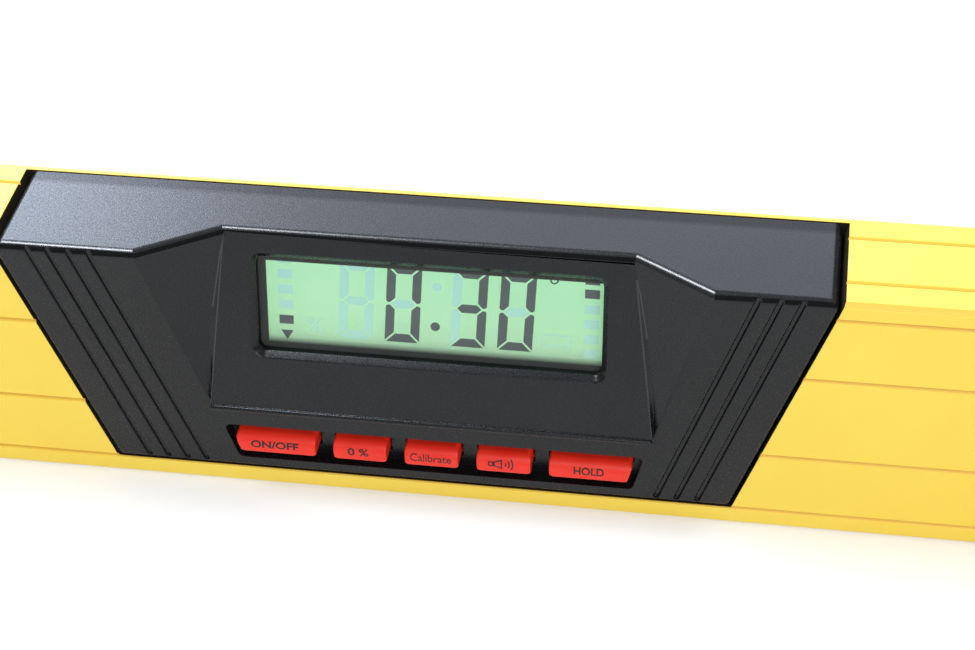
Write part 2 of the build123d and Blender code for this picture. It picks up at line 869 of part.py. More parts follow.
def make_batteries():
    """Two small round cells, side by side and turned opposite ways."""
    length = cell_length - cell_nub
    cells = []
    for turn in (-1, 1):
        row = Pos(0, cell_y, tray_middle + turn * cell_pitch / 2) * Rot(0, 90 * turn, 0)
        body = Pos(0, 0, -cell_nub / 2) * Cylinder(cell_radius, length)
        nub = Pos(0, 0, length / 2) * Cylinder(cell_nub_radius, cell_nub)
        cells.append(row * (body + nub))
    return Compound(children=cells)


def contact_point(end, turn):
    """Make the raised point of a contact: a flat stud for a cell's nub, a coned spring for its base."""
    reach = tray_end - contact_thickness
    place = Pos(end * (cell_length + reach) / 2, cell_y, tray_middle + turn * cell_pitch / 2)
    if end == turn:
        return place * Rot(0, 90, 0) * Cylinder(contact_stud_radius, reach)
    return place * Rot(0, 90 * end, 0) * Cone(contact_stud_radius, contact_spring_radius, reach)


def contact_plate(end, z_low, z_high):
    """Make a contact's flat plate against an end wall of the tray."""
    wall_x = end * tray_half_x
    face_x = end * (tray_half_x - contact_thickness)
    half = contact_size / 2
    return block((min(wall_x, face_x), max(wall_x, face_x)), (cell_y - half, cell_y + half), (z_low, z_high))


def make_battery_contacts():
    """One bridge at the tray's left end; two contacts with solder tabs at its right end."""
    half = contact_size / 2
    low = tray_middle - cell_pitch / 2
    high = tray_middle + cell_pitch / 2
    bridge = contact_plate(-1, low - half, high + half) + contact_point(-1, -1) + contact_point(-1, 1)
    contacts = [bridge]
    for turn, z in ((-1, low), (1, high)):
        contacts.append(contact_plate(1, z - half, z + half) + contact_point(1, turn) + contact_tab(turn))
    return Compound(children=contacts)


def make_battery_door():
    """Door in the rail's rear wall: two hooks at its left edge, finger grips near its right edge."""
    half_x = door_half_x - door_fit
    half_z = door_half_z - door_fit
    outline = RectangleRounded(2 * half_x, 2 * half_z, door_radius - door_fit)
    door = slab(Pos(0, tray_middle) * outline, rear - door_thickness, rear)
    for row in range(door_grip_count):
        x = door_half_x - door_margin_x - row * door_grip_pitch
        door -= block(
            (x - door_grip_width / 2, x + door_grip_width / 2),
            (rear - door_grip_depth, rear + overshoot),
            (tray_middle - door_grip_length / 2, tray_middle + door_grip_length / 2),
        )
    for side in (-1, 1):
        z = tray_middle + side * (half_z - door_rib_width)
        door += block(
            (-tray_half_x, door_half_x - door_margin_x),
            (rear - door_thickness - door_rib, rear - door_thickness),
            (z - door_rib_width / 2, z + door_rib_width / 2),
        )
        z = tray_middle + side * door_tab_spread / 2
        tab_back = inner_rear - door_tab_gap
        tab_front = tab_back - door_tab_thickness
        stem = (-half_x, -half_x + door_tab_thickness)
        span = (z - door_tab_width / 2, z + door_tab_width / 2)
        door += block((-half_x - door_tab_reach, stem[1]), (tab_front, tab_back), span)
        door += block(stem, (tab_front, rear - door_thickness), span)
    return door


# Fasteners

def make_case_screws():
    """Four countersunk screws that close the module's case."""
    return Compound(children=[
        countersink(x, z, case_screw_radius, cover_back, parting - case_screw_length)
        for x, z in case_boss_places()
    ])


def make_module_screws():
    """Four countersunk screws through the rail's rear wall into the module."""
    return Compound(children=[
        countersink(x, z, module_screw_radius, rear, rear - module_screw_length) for x, z in screw_places()
    ])


def make_board_screws():
    """Four small screws that hold the main board."""
    tip = main_board_back - small_screw_length
    top = main_board_back + small_head_height
    screws = []
    for x, rise in board_boss_places():
        shank = on_panel(Pos(x, rise) * Circle(small_screw_radius), tip, main_board_back)
        screws.append(shank + on_panel(Pos(x, rise) * Circle(small_head_radius), main_board_back, top))
    return Compound(children=screws)


def make_key_board_screws():
    """Two small screws that hold the key board."""
    tip = key_board_back - small_screw_length
    top = key_board_back + small_head_height
    screws = []
    for side in (-1, 1):
        shank = rod_y(side * key_boss_x, key_middle, small_screw_radius, tip, key_board_back)
        screws.append(shank + rod_y(side * key_boss_x, key_middle, small_head_radius, key_board_back, top))
    return Compound(children=screws)


# Vials: each is drawn along Z about the origin and then turned into its place

def vial_place(kind):
    """Give the turn and place of a vial."""
    if kind == "level":
        return Pos(level_vial_x, 0, level_vial_z) * Rot(0, 90, 0)
    return Pos(plumb_vial_x, 0, plumb_vial_z)


def make_vial_tube(kind):
    """Clear tube, bored from end to end."""
    return vial_place(kind) * (Cylinder(tube_radius, tube_length) - Cylinder(bore_radius, tube_length))


def make_vial_liquid(kind):
    """Liquid with the hollow of its bubble, at the highest place of the tube."""
    length = tube_length - 2 * plug_length
    liquid = Cylinder(bore_radius, length)
    if kind == "level":
        straight = bubble_length - 2 * bubble_radius
        high = bore_radius - bubble_radius + bubble_drop / 2
        bubble = Cylinder(bubble_radius, straight)
        bubble += Pos(0, 0, straight / 2) * Sphere(bubble_radius)
        bubble += Pos(0, 0, -straight / 2) * Sphere(bubble_radius)
        return vial_place(kind) * (liquid - Pos(-high, 0, 0) * bubble)
    meniscus = meniscus_ratio * bore_radius
    return vial_place(kind) * (liquid - Pos(0, 0, length / 2 + meniscus - bubble_depth) * Sphere(meniscus))


def make_vial_rings(kind):
    """Two reading rings round the tube."""
    ring = Cylinder(tube_radius + ring_height, ring_width) - Cylinder(tube_radius, ring_width)
    rings = [vial_place(kind) * Pos(0, 0, side * ring_spacing / 2) * ring for side in (-1, 1)]
    return Compound(children=rings)


def make_vial_plugs(kind):
    """Plugs that seal both ends of the tube."""
    plug = Cylinder(bore_radius, plug_length)
    shift = (tube_length - plug_length) / 2
    return Compound(children=[vial_place(kind) * Pos(0, 0, side * shift) * plug for side in (-1, 1)])


def vial_bore(kind):
    """Make the hole that the tube slides into, open at one end of its holder."""
    length = tube_length + tube_fit + holder_bar
    bore = Cylinder(tube_radius + tube_fit, length)
    return vial_place(kind) * Pos(0, 0, (length - tube_length) / 2 - tube_fit) * bore


def make_level_vial_holder():
    """Insert in the rail's top edge, open to the front, the back and the top."""
    x = (level_vial_x - level_half + holder_fit, level_vial_x + level_half - holder_fit)
    z_low = rail_height - vial_pocket_depth + holder_fit
    holder = block(x, (front, rear), (z_low, rail_height))
    half = tube_length / 2 - holder_end
    view = (level_vial_x - half, level_vial_x + half)
    through = (front - overshoot, rear + overshoot)
    holder -= block(view, through, (z_low + holder_bar, rail_height - level_slot_bar))
    slot = (-level_slot_half, level_slot_half)
    holder -= block(view, slot, (z_low + holder_bar, rail_height + overshoot))
    return holder - vial_bore("level")


def make_plumb_vial_holder():
    """Insert through both walls of the rail, open to the front and the back."""
    half_x = plumb_half_x - holder_fit
    half_z = plumb_half_z - holder_fit
    outline = RectangleRounded(2 * half_x, 2 * half_z, plumb_radius - holder_fit)
    view = RectangleRounded(2 * tube_radius + holder_bar, tube_length - 2 * holder_end, plumb_view_radius)
    holder = slab(Pos(plumb_vial_x, plumb_vial_z) * (outline - view), front, rear)
    return holder - vial_bore("plumb")


KEY_NAMES = ("on_off", "zero", "calibrate", "sound", "hold")


def make_nodes():
    """Build every piece under its node's name."""
    nodes = {
        "level_rail": make_level_rail(),
        "end_cap_left": make_end_cap(-1),
        "end_cap_right": make_end_cap(1),
        "front_housing": make_front_housing(),
        "rear_cover": make_rear_cover(),
        "display_window": make_display_window(),
        "lcd_glass": make_lcd_glass(),
        "zebra_strip": make_zebra_strip(),
        "backlight_panel": make_backlight_panel(),
        "lcd_frame": make_lcd_frame(),
        "main_board": make_main_board(),
        "microcontroller": make_microcontroller(),
        "tilt_sensor": make_tilt_sensor(),
        "board_parts": make_board_parts(),
        "key_board": make_key_board(),
        "switch_bodies": make_switch_bodies(),
        "flex_ribbon": make_flex_ribbon(),
        "buzzer": make_buzzer(),
        "battery_leads": make_battery_leads(),
        "buzzer_leads": make_buzzer_leads(),
        "batteries": make_batteries(),
        "battery_contacts": make_battery_contacts(),
        "battery_door": make_battery_door(),
        "case_screws": make_case_screws(),
        "module_screws": make_module_screws(),
        "board_screws": make_board_screws(),
        "key_board_screws": make_key_board_screws(),
        "level_vial_holder": make_level_vial_holder(),
        "plumb_vial_holder": make_plumb_vial_holder(),
    }
    for index, name in enumerate(KEY_NAMES):
        nodes[f"button_{name}"] = make_button(index)
        nodes[f"plunger_{name}"] = make_plunger(index)
    for kind in ("level", "plumb"):
        nodes[f"{kind}_vial_tube"] = make_vial_tube(kind)
        nodes[f"{kind}_vial_liquid"] = make_vial_liquid(kind)
        nodes[f"{kind}_vial_rings"] = make_vial_rings(kind)
        nodes[f"{kind}_vial_plugs"] = make_vial_plugs(kind)
    return nodes


if __name__ == "__main__":
    os.makedirs("parts", exist_ok=True)
    for node_name, shape in make_nodes().items():
        export_step(shape, os.path.join("parts", f"{node_name}.step"))
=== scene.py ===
"""Looks of a digital spirit level.

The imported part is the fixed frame. This script gives every piece its finish, softens the edges of the moulded
and cut pieces, prints the keys, draws the marks on the display and sets up a plain studio.
"""

import logging
import math
from collections.abc import Iterable
from dataclasses import dataclass
from enum import Enum, IntEnum
from itertools import pairwise, product

import bmesh
import bpy
from bmesh.types import BMEdge, BMesh, BMFace, BMVert
from bpy.types import Material, Node, NodeSocket, NodeTree, Object
from mathutils import Color, Euler, Matrix, Vector
from mathutils.geometry import intersect_point_line


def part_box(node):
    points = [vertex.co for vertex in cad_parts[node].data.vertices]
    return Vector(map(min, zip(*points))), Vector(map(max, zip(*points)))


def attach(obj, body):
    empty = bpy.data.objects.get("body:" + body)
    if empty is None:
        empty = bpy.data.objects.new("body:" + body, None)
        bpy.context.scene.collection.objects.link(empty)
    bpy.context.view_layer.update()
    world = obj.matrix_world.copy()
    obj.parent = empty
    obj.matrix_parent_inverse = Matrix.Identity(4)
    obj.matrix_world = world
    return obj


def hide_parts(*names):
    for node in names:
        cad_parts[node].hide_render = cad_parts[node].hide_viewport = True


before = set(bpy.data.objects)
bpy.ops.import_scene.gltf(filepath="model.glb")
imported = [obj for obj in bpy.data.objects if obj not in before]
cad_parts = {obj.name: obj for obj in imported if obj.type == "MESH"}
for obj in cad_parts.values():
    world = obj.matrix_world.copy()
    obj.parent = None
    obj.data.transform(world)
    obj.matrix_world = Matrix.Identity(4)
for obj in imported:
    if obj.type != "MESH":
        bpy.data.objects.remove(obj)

log = logging.getLogger("spirit_level")

MM = 0.001
MERGE_DISTANCE = 0.001 * MM
SHARE_MARGIN = 1e-6
FLAT_ANGLE = math.radians(0.4)
SHARP_ANGLE = math.radians(32.0)
EDGE_SEGMENTS = 2
DISC_SIDES = 32

# A face looks to the front where the Y of its normal is below this
FRONT_FACING = -0.5

# The noise lies mostly in this range
NOISE_LOW = 0.3
NOISE_HIGH = 0.7

# Roughness varies in patches this many times as large as the grain
ROUGHNESS_PATCH = 2.0

# Phase of the wave texture in each unit of length, at a scale of 1
WAVE_PHASE = 20.0

# Sockets of the mix node that take and give colours
MIX_COLOURS = (6, 7)
MIX_RESULT = 2

# A tone is red, green and blue as they look on screen, from 0 to this
FULL_TONE = 255

WHITE = (1.0, 1.0, 1.0, 1.0)

Tone = tuple[float, float, float]
Corner = tuple[float, float]


class Body(Enum):
    """Bodies of the part that pieces ride on."""

    LEVEL = "level_body"
    ON_OFF = "key_on_off"
    ZERO = "key_zero"
    CALIBRATE = "key_calibrate"
    SOUND = "key_sound"
    HOLD = "key_hold"
    DOOR = "door"


class Axis(Enum):
    """Axes of a piece's own coordinates."""

    X = "X"
    Y = "Y"
    Z = "Z"


class BandDirection(Enum):
    """Ways in which bands follow each other."""

    ACROSS = "X"
    DIAGONAL = "DIAGONAL"


class CaseFace(IntEnum):
    """Materials of the case beyond its grained one, by their place on the piece."""

    # Darker, matt black: painted shade under the rims and on the window's walls
    PAINTED_SHADE = 1
    SMOOTH = 2


class BarForm(Enum):
    """Plain forms that the bars of a digit are drawn from."""

    CROSS = "the top bar"
    SIDE = "the upper left bar"
    MIDDLE = "the middle bar"


class Segment(Enum):
    """Bars of a seven-bar digit: the plain form each is drawn from, and how that form is mirrored."""

    TOP = (BarForm.CROSS, False, False)
    BOTTOM = (BarForm.CROSS, False, True)
    MIDDLE = (BarForm.MIDDLE, False, False)
    UPPER_LEFT = (BarForm.SIDE, False, False)
    UPPER_RIGHT = (BarForm.SIDE, True, False)
    LOWER_LEFT = (BarForm.SIDE, False, True)
    LOWER_RIGHT = (BarForm.SIDE, True, True)


EIGHT = frozenset(Segment)
ZERO = EIGHT - {Segment.MIDDLE}
THREE = EIGHT - {Segment.UPPER_LEFT, Segment.LOWER_LEFT}


# Finishes


def linear(tone: Tone) -> tuple[float, float, float, float]:
    """Turn a tone into a shader's opaque colour."""
    red, green, blue = Color([part / FULL_TONE for part in tone]).from_srgb_to_scene_linear()
    return (red, green, blue, 1.0)


class Recipe:
    """Shader nodes of one material."""

    def __init__(self, name: str) -> None:
        """Start with a principled shader and the piece's own coordinates.

        Args:
            name: Name of the material.
        """
        self.material: Material = bpy.data.materials.new(name)
        self.material.use_nodes = True
        self.tree = self.material.node_tree
        self.shader: Node = self.tree.nodes["Principled BSDF"]
        self.place: NodeSocket = self.add("ShaderNodeTexCoord").outputs["Object"]

    def add(self, kind: str, **settings: object) -> Node:
        """Add a node.

        Args:
            kind: Identifier of the node's type.
            **settings: Properties to set on it.

        Returns:
            The new node.
        """
        node = self.tree.nodes.new(kind)
        for key, value in settings.items():
            setattr(node, key, value)
        return node

    def set(self, **values: float | tuple) -> None:
        """Set sockets of the shader to values that are the same all over the surface."""
        for name, value in values.items():
            self.shader.inputs[name.replace("_", " ")].default_value = value

    def link(self, source: NodeSocket, target: NodeSocket | str) -> None:
        """Link a varying value to a socket, or to the shader's socket of that name."""
        socket = self.shader.inputs[target] if isinstance(target, str) else target
        self.tree.links.new(source, socket)

    def noise(self, scale: float, detail: float = 2.0) -> NodeSocket:
        """Make soft noise.

        Args:
            scale: Patches per metre.
            detail: How many finer layers lie on the patches.

        Returns:
            A value, mostly from 0.3 to 0.7.
        """
        node = self.add("ShaderNodeTexNoise")
        node.inputs["Scale"].default_value = scale
        node.inputs["Detail"].default_value = detail
        self.link(self.place, node.inputs["Vector"])
        return node.outputs[0]

    def bands(self, pitch: float, direction: BandDirection) -> NodeSocket:
        """Make even bands.

        Args:
            pitch: Distance from band to band in metres.
            direction: Way in which they follow each other.

        Returns:
            A value from 0 to 1.
        """
        node = self.add("ShaderNodeTexWave", wave_type="BANDS", bands_direction=direction.value)
        node.inputs["Scale"].default_value = math.tau / WAVE_PHASE / pitch
        self.link(self.place, node.inputs["Vector"])
        return node.outputs[1]

    def along(self, axis: Axis, start: float, end: float) -> NodeSocket:
        """Make a ramp along an axis, from 0 at its start to 1 at its end, both in metres."""
        return self.spread(self.part(axis), 0.0, 1.0, start, end)

    def part(self, axis: Axis) -> NodeSocket:
        """Give the place along one axis.

        Args:
            axis: The axis.

        Returns:
            The place, in metres.
        """
        parts = self.add("ShaderNodeSeparateXYZ")
        self.link(self.place, parts.inputs[0])
        return parts.outputs[axis.value]

    def combine(self, operation: str, first: NodeSocket, second: NodeSocket | float) -> NodeSocket:
        """Combine two values by one operation.

        Args:
            operation: Identifier of the operation.
            first: First value.
            second: Second value, or a number.

        Returns:
            The result.
        """
        node = self.add("ShaderNodeMath", operation=operation)
        self.link(first, node.inputs[0])
        if isinstance(second, NodeSocket):
            self.link(second, node.inputs[1])
        else:
            node.inputs[1].default_value = second
        return node.outputs[0]

    def distance(self, value: NodeSocket, level: float) -> NodeSocket:
        """Give how far a value lies from a level."""
        return self.combine("ABSOLUTE", self.combine("SUBTRACT", value, level), 0.0)

    def spread(
        self, value: NodeSocket, low: float, high: float, start: float = NOISE_LOW, end: float = NOISE_HIGH
    ) -> NodeSocket:
        """Map a value to another range.

        Args:
            value: The value.
            low: Result at start.
            high: Result at end.
            start: Lower end of the value's own range.
            end: Upper end of the value's own range.

        Returns:
            The mapped value.
        """
        node = self.add("ShaderNodeMapRange")
        for name, number in (("From Min", start), ("From Max", end), ("To Min", low), ("To Max", high)):
            node.inputs[name].default_value = number
        self.link(value, node.inputs["Value"])
        return node.outputs[0]

    def blend(self, share: NodeSocket, first: NodeSocket | Tone, second: NodeSocket | Tone) -> NodeSocket:
        """Blend two colours.

        Args:
            share: 0 for the first colour, 1 for the second.
            first: First tone, or a varying colour.
            second: Second tone, or a varying colour.

        Returns:
            The blended colour.
        """
        node = self.add("ShaderNodeMix", data_type="RGBA")
        self.link(share, node.inputs[0])
        for index, colour in zip(MIX_COLOURS, (first, second)):
            if isinstance(colour, NodeSocket):
                self.link(colour, node.inputs[index])
            else:
                node.inputs[index].default_value = linear(colour)
        return node.outputs[MIX_RESULT]

    def relief(self, height: NodeSocket, depth: float) -> None:
        """Raise the surface by a pattern.

        Args:
            height: The pattern.
            depth: How far its full value raises the surface, in metres.
        """
        node = self.add("ShaderNodeBump")
        node.inputs["Distance"].default_value = depth
        self.link(height, node.inputs["Height"])
        self.link(node.outputs[0], "Normal")


@dataclass(frozen=True)
class Finish:
    """Surface with two near tones in a soft mottle, a range of roughness and a fine grain."""

    name: str
    tones: tuple[Tone, Tone]
    roughness: tuple[float, float]
    mottle: float = 60.0
    grain: float = 900.0
    depth: float = 0.002 * MM
    metallic: float = 0.0
    specular: float = 0.5

    def material(self) -> Material:
        """Give the finish's material, which is made at its first use.

        Returns:
            The material.
        """
        found = bpy.data.materials.get(self.name)
        if found:
            return found
        recipe = Recipe(self.name)
        recipe.set(Metallic=self.metallic, Specular_IOR_Level=self.specular)
        recipe.link(self.colour(recipe), "Base Color")
        recipe.link(recipe.spread(recipe.noise(self.grain / ROUGHNESS_PATCH), *self.roughness), "Roughness")
        recipe.relief(recipe.noise(self.grain, detail=1.0), self.depth)
        self.complete(recipe)
        return recipe.material

    def colour(self, recipe: Recipe) -> NodeSocket:
        """Blend the two tones in the finish's own pattern."""
        return recipe.blend(recipe.spread(recipe.noise(self.mottle), 0.0, 1.0), *self.tones)

    def complete(self, recipe: Recipe) -> None:
        """Add what this finish has beyond colour, roughness and grain."""


@dataclass(frozen=True, kw_only=True)
class ClearFinish(Finish):
    """See-through surface that barely tints what is behind it."""

    cover: float

    def complete(self, recipe: Recipe) -> None:
        """Let most of the light straight through."""
        recipe.set(Alpha=self.cover)


@dataclass(frozen=True)
class LiquidFinish(Finish):
    """Tinted liquid."""

    bend: float = 1.33

    def complete(self, recipe: Recipe) -> None:
        """Let the light through and bend it."""
        recipe.set(Transmission_Weight=1.0, IOR=self.bend)


@dataclass(frozen=True, kw_only=True)
class PaintedGlowFinish(Finish):
    """Glass with a painted glow, in two tones from its lower to its upper edge, with painted shade at its foot.
    """

    low: float
    high: float
    # Strength of the painted glow, then the height and tone of the painted shade at the lower edge
    glow: float
    fade: float = 1.3 * MM
    shade: Tone = (52, 68, 58)

    def colour(self, recipe: Recipe) -> NodeSocket:
        """Blend the two tones up the glass, paint shade at the lower edge and let the colour shine as painted
        glow.

        Args:
            recipe: Recipe of the material.

        Returns:
            The colour.
        """
        even = recipe.blend(recipe.along(Axis.Z, self.low, self.high), *self.tones)
        colour = recipe.blend(recipe.along(Axis.Z, self.low, self.low + self.fade), self.shade, even)
        recipe.link(colour, "Emission Color")
        return colour

    def complete(self, recipe: Recipe) -> None:
        """Set how strongly the painted glow shines."""
        recipe.set(Emission_Strength=self.glow)


@dataclass(frozen=True, kw_only=True)
class BandedFinish(Finish):
    """Surface with even bands of its two tones."""

    pitch: float
    direction: BandDirection = BandDirection.ACROSS
    soft_range: tuple[float, float] = (0.4, 0.6)

    def colour(self, recipe: Recipe) -> NodeSocket:
        """Blend the two tones in bands."""
        bands = recipe.bands(self.pitch, self.direction)
        return recipe.blend(recipe.spread(bands, 0.0, 1.0, *self.soft_range), *self.tones)


@dataclass(frozen=True, kw_only=True)
class SleeveFinish(Finish):
    """Sleeves of two cells that lie opposite ways, each with a band round its raised end."""

    middle: float
    band: float = 12.0 * MM
    fade: float = 0.1 * MM

    def colour(self, recipe: Recipe) -> NodeSocket:
        """Find each cell's raised end from the row that it lies in, and colour the band there.

        Args:
            recipe: Recipe of the material.

        Returns:
            The colour.
        """
        row = recipe.spread(recipe.part(Axis.Z), -1.0, 1.0, self.middle - self.fade, self.middle + self.fade)
        toward = recipe.combine("MULTIPLY", recipe.part(Axis.X), row)
        share = recipe.spread(toward, 0.0, 1.0, self.band, self.band + self.fade)
        return recipe.blend(share, *self.tones)


@dataclass(frozen=True)
class GrooveShadeFinish(Finish):
    """Coat with shade painted into the rail's grooves and onto the chamfers along its top."""

    # Tone of the shade painted into the grooves and onto the top chamfer
    groove_shade_tone: Tone = (212, 150, 44)
    height: float = 60.0 * MM
    groove_half: float = 0.5 * MM
    side_grooves: tuple[float, ...] = (10.5 * MM, 25.8 * MM)
    top_groove: float = 6.5 * MM
    top_fade: float = 0.1 * MM
    chamfer: float = 1.0 * MM
    chamfer_reach: float = 0.45
    # Strength of the painted shade in the grooves and on the chamfer
    groove_shade_share: float = 0.85
    chamfer_shade_share: float = 0.4

    def colour(self, recipe: Recipe) -> NodeSocket:
        """Paint shade into the coat near the grooves, which lie in pairs about the rail's middle, and on the
        top chamfer.

        Args:
            recipe: Recipe of the material.

        Returns:
            The colour.
        """
        coat = super().colour(recipe)
        rise = recipe.distance(recipe.part(Axis.Z), self.height / 2)
        brim = self.height - self.groove_half
        on_top = recipe.along(Axis.Z, brim - self.top_fade, brim)
        aside = recipe.distance(recipe.part(Axis.Y), 0.0)
        across = recipe.spread(recipe.distance(aside, self.top_groove), 1.0, 0.0, 0.0, self.groove_half)
        shade = recipe.combine("MULTIPLY", across, on_top)
        for level in self.side_grooves:
            near = recipe.spread(recipe.distance(rise, level), 1.0, 0.0, 0.0, self.groove_half)
            shade = recipe.combine("MAXIMUM", shade, near)
        shade = recipe.combine("MULTIPLY", shade, self.groove_shade_share)
        # Painted shade on the chamfer along the top
        edge = recipe.distance(recipe.part(Axis.Z), self.height - self.chamfer / 2)
        inside = recipe.combine("LESS_THAN", edge, self.chamfer_reach * self.chamfer)
        shade = recipe.combine("MAXIMUM", shade, recipe.combine("MULTIPLY", inside, self.chamfer_shade_share))
        return recipe.blend(shade, coat, self.groove_shade_tone)


@dataclass(frozen=True)
class CaseFinish(Finish):
    """Grained plastic that is duller along the rear of the case."""

    rear_specular: float = 0.2
    rear_start: float = 7.0 * MM
    rear_end: float = 8.3 * MM

    def complete(self, recipe: Recipe) -> None:
        """Lower the gloss towards the rear."""
        ends = (self.specular, self.rear_specular, self.rear_start, self.rear_end)
        recipe.link(recipe.spread(recipe.part(Axis.Y), *ends), "Specular IOR Level")


# Yellow coat with shade painted into its grooves and onto its top chamfer
YELLOW_COAT_WITH_SHADE = GrooveShadeFinish(
    "yellow_coat_with_painted_shade", ((255, 226, 92), (253, 220, 84)), (0.40, 0.48),
    mottle=30.0, grain=1500.0, depth=0.004 * MM, specular=0.4,
)
# Painted shade, in place of the coat, on the inside of the rail and the cut faces of its openings
RAIL_INSIDE_SHADE = Finish("rail_inside_painted_shade", ((44, 38, 27), (36, 31, 22)), (0.6, 0.7), specular=0.2)
BLACK_CASE = CaseFinish(
    "black_grained_plastic", ((17, 19, 22), (13, 15, 18)), (0.24, 0.32),
    mottle=90.0, grain=4200.0, depth=0.018 * MM, specular=0.35,
)
BLACK_RIM = Finish(
    "black_smooth_plastic", ((17, 19, 22), (13, 15, 18)), (0.24, 0.30),
    mottle=90.0, grain=4200.0, depth=0.003 * MM, specular=0.7,
)
BLACK_CAP = Finish(
    "black_cap_plastic", ((28, 29, 31), (22, 23, 25)), (0.50, 0.60),
    mottle=90.0, grain=2400.0, depth=0.02 * MM, specular=0.34,
)
# Matt black: ink of the display's border, and painted shade on the case's lower rims and window walls
BLACK_INK_AND_SHADE = Finish("matte_black_ink_and_painted_shade", ((12, 13, 14), (9, 10, 11)), (0.75, 0.85), specular=0.12)
BLACK_INNER = Finish("black_inner_plastic", ((24, 25, 27), (19, 20, 22)), (0.50, 0.60), specular=0.3)
RED_KEY = Finish(
    "red_key_plastic", ((250, 52, 33), (244, 46, 28)), (0.36, 0.44),
    mottle=120.0, grain=2600.0, depth=0.004 * MM, specular=0.4,
)
KEY_PRINT = Finish("key_print", ((34, 20, 20), (26, 16, 16)), (0.50, 0.60), mottle=400.0)
WINDOW = ClearFinish("clear_window", ((235, 245, 240), (228, 240, 235)), (0.05, 0.08), cover=0.06)
VIAL = ClearFinish("clear_vial", ((240, 246, 240), (232, 240, 234)), (0.04, 0.08), cover=0.14)
LIQUID = LiquidFinish("vial_liquid", ((214, 236, 60), (204, 230, 50)), (0.02, 0.04))
DISPLAY_BARS = Finish("display_bars", ((62, 76, 75), (54, 68, 68)), (0.5, 0.6), mottle=300.0)
LIGHT_GUIDE = Finish("milky_light_guide", ((215, 238, 220), (205, 230, 212)), (0.3, 0.4))
STRIPED_RUBBER = BandedFinish("striped_rubber", ((215, 196, 205), (46, 40, 44)), (0.6, 0.7), pitch=0.5 * MM)
BOARD = BandedFinish(
    "green_board", ((22, 92, 52), (30, 112, 64)), (0.35, 0.5),
    pitch=1.6 * MM, direction=BandDirection.DIAGONAL,
)
CHIP = Finish(
    "chip_package", ((34, 34, 36), (28, 28, 30)), (0.55, 0.65), mottle=500.0, grain=4000.0, depth=0.01 * MM
)
SENSOR = Finish("sensor_can", ((190, 190, 192), (178, 178, 181)), (0.28, 0.38), metallic=1.0)
BARE_CAN = Finish("bare_can", ((205, 206, 208), (190, 191, 194)), (0.25, 0.35), metallic=1.0)
PLATED = Finish("nickel_plate", ((200, 200, 202), (186, 186, 190)), (0.25, 0.35), metallic=1.0)
SCREW = Finish("zinc_plate", ((168, 170, 176), (150, 152, 158)), (0.30, 0.42), mottle=300.0, metallic=1.0)
LEAD = Finish("red_lead", ((168, 26, 22), (152, 22, 20)), (0.4, 0.5), mottle=200.0)
FILM = BandedFinish("amber_film", ((206, 128, 40), (178, 98, 28)), (0.25, 0.35), pitch=1.2 * MM)
PALE_PLUG = Finish("pale_plug", ((224, 226, 208), (214, 217, 198)), (0.4, 0.5))
RING_INK = Finish("ring_ink", ((24, 24, 24), (18, 18, 18)), (0.5, 0.6), mottle=300.0)


# Meshes


def node_mesh(node: str) -> BMesh:
    """Copy a solid's mesh with its loose triangles merged into whole faces.

    Args:
        node: Name of the solid's node.

    Returns:
        The copy.
    """
    mesh = bmesh.new()
    mesh.from_mesh(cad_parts[node].data)
    bmesh.ops.remove_doubles(mesh, verts=mesh.verts, dist=MERGE_DISTANCE)
    bmesh.ops.dissolve_limit(mesh, angle_limit=FLAT_ANGLE, verts=mesh.verts, edges=mesh.edges)
    return mesh


def soften(mesh: BMesh, width: float, also: Iterable[BMEdge] = ()) -> list[BMFace]:
    """Round the sharp edges of a mesh.

    Args:
        mesh: The mesh to change.
        width: Width of the rounding, in metres.
        also: Edges to round though they turn little.

    Returns:
        The faces of the roundings.
    """
    chosen = set(also)
    chosen.update(edge for edge in mesh.edges if edge.is_manifold and edge.calc_face_angle() > SHARP_ANGLE)
    made = bmesh.ops.bevel(
        mesh, geom=[edge for edge in mesh.edges if edge in chosen], offset=width, offset_type="OFFSET",
        segments=EDGE_SEGMENTS, profile=0.5, affect="EDGES", clamp_overlap=False, material=-1,
    )
    return made["faces"]


def settle(
    mesh: BMesh, name: str, finish: Finish, body: Body, slot: str, *nodes: str, crisp: Iterable[int] = ()
) -> Object:
    """Turn a mesh into a finished piece.

    Args:
        mesh: The mesh, which is used up.
        name: Name of the piece.
        finish: Its finish.
        body: Body that it rides on.
        slot: Material slot of the record that it belongs to; not used.
        *nodes: Solids that it stands for.
        crisp: Edges that stay sharp though they turn little.

    Returns:
        The piece.
    """
    data = bpy.data.meshes.new(name)
    mesh.to_mesh(data)
    mesh.free()
    data.shade_smooth()
    data.set_sharp_from_angle(angle=SHARP_ANGLE)
    for index in crisp:
        data.edges[index].use_edge_sharp = True
    data.materials.append(finish.material())
    piece = bpy.data.objects.new(name, data)
    bpy.context.scene.collection.objects.link(piece)
    flatten(piece)
    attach(piece, body.value)
    if nodes:
        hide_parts(*nodes)
    log.info("%s: %d faces on %s", name, len(piece.data.polygons), body.value)
    return piece


def apply_modifiers(piece: Object) -> None:
    """Give a piece the mesh that its modifiers make, and drop them.

    Args:
        piece: The piece.
    """
    bpy.context.view_layer.update()
    shown = bpy.data.meshes.new_from_object(piece.evaluated_get(bpy.context.evaluated_depsgraph_get()))
    piece.modifiers.clear()
    old, piece.data = piece.data, shown
    bpy.data.meshes.remove(old)


def flatten(piece: Object) -> None:
    """Keep the shading of a piece's flat faces flat up to the roundings beside them."""
    piece.modifiers.new("flat_faces", "WEIGHTED_NORMAL").keep_sharp = True
    apply_modifiers(piece)


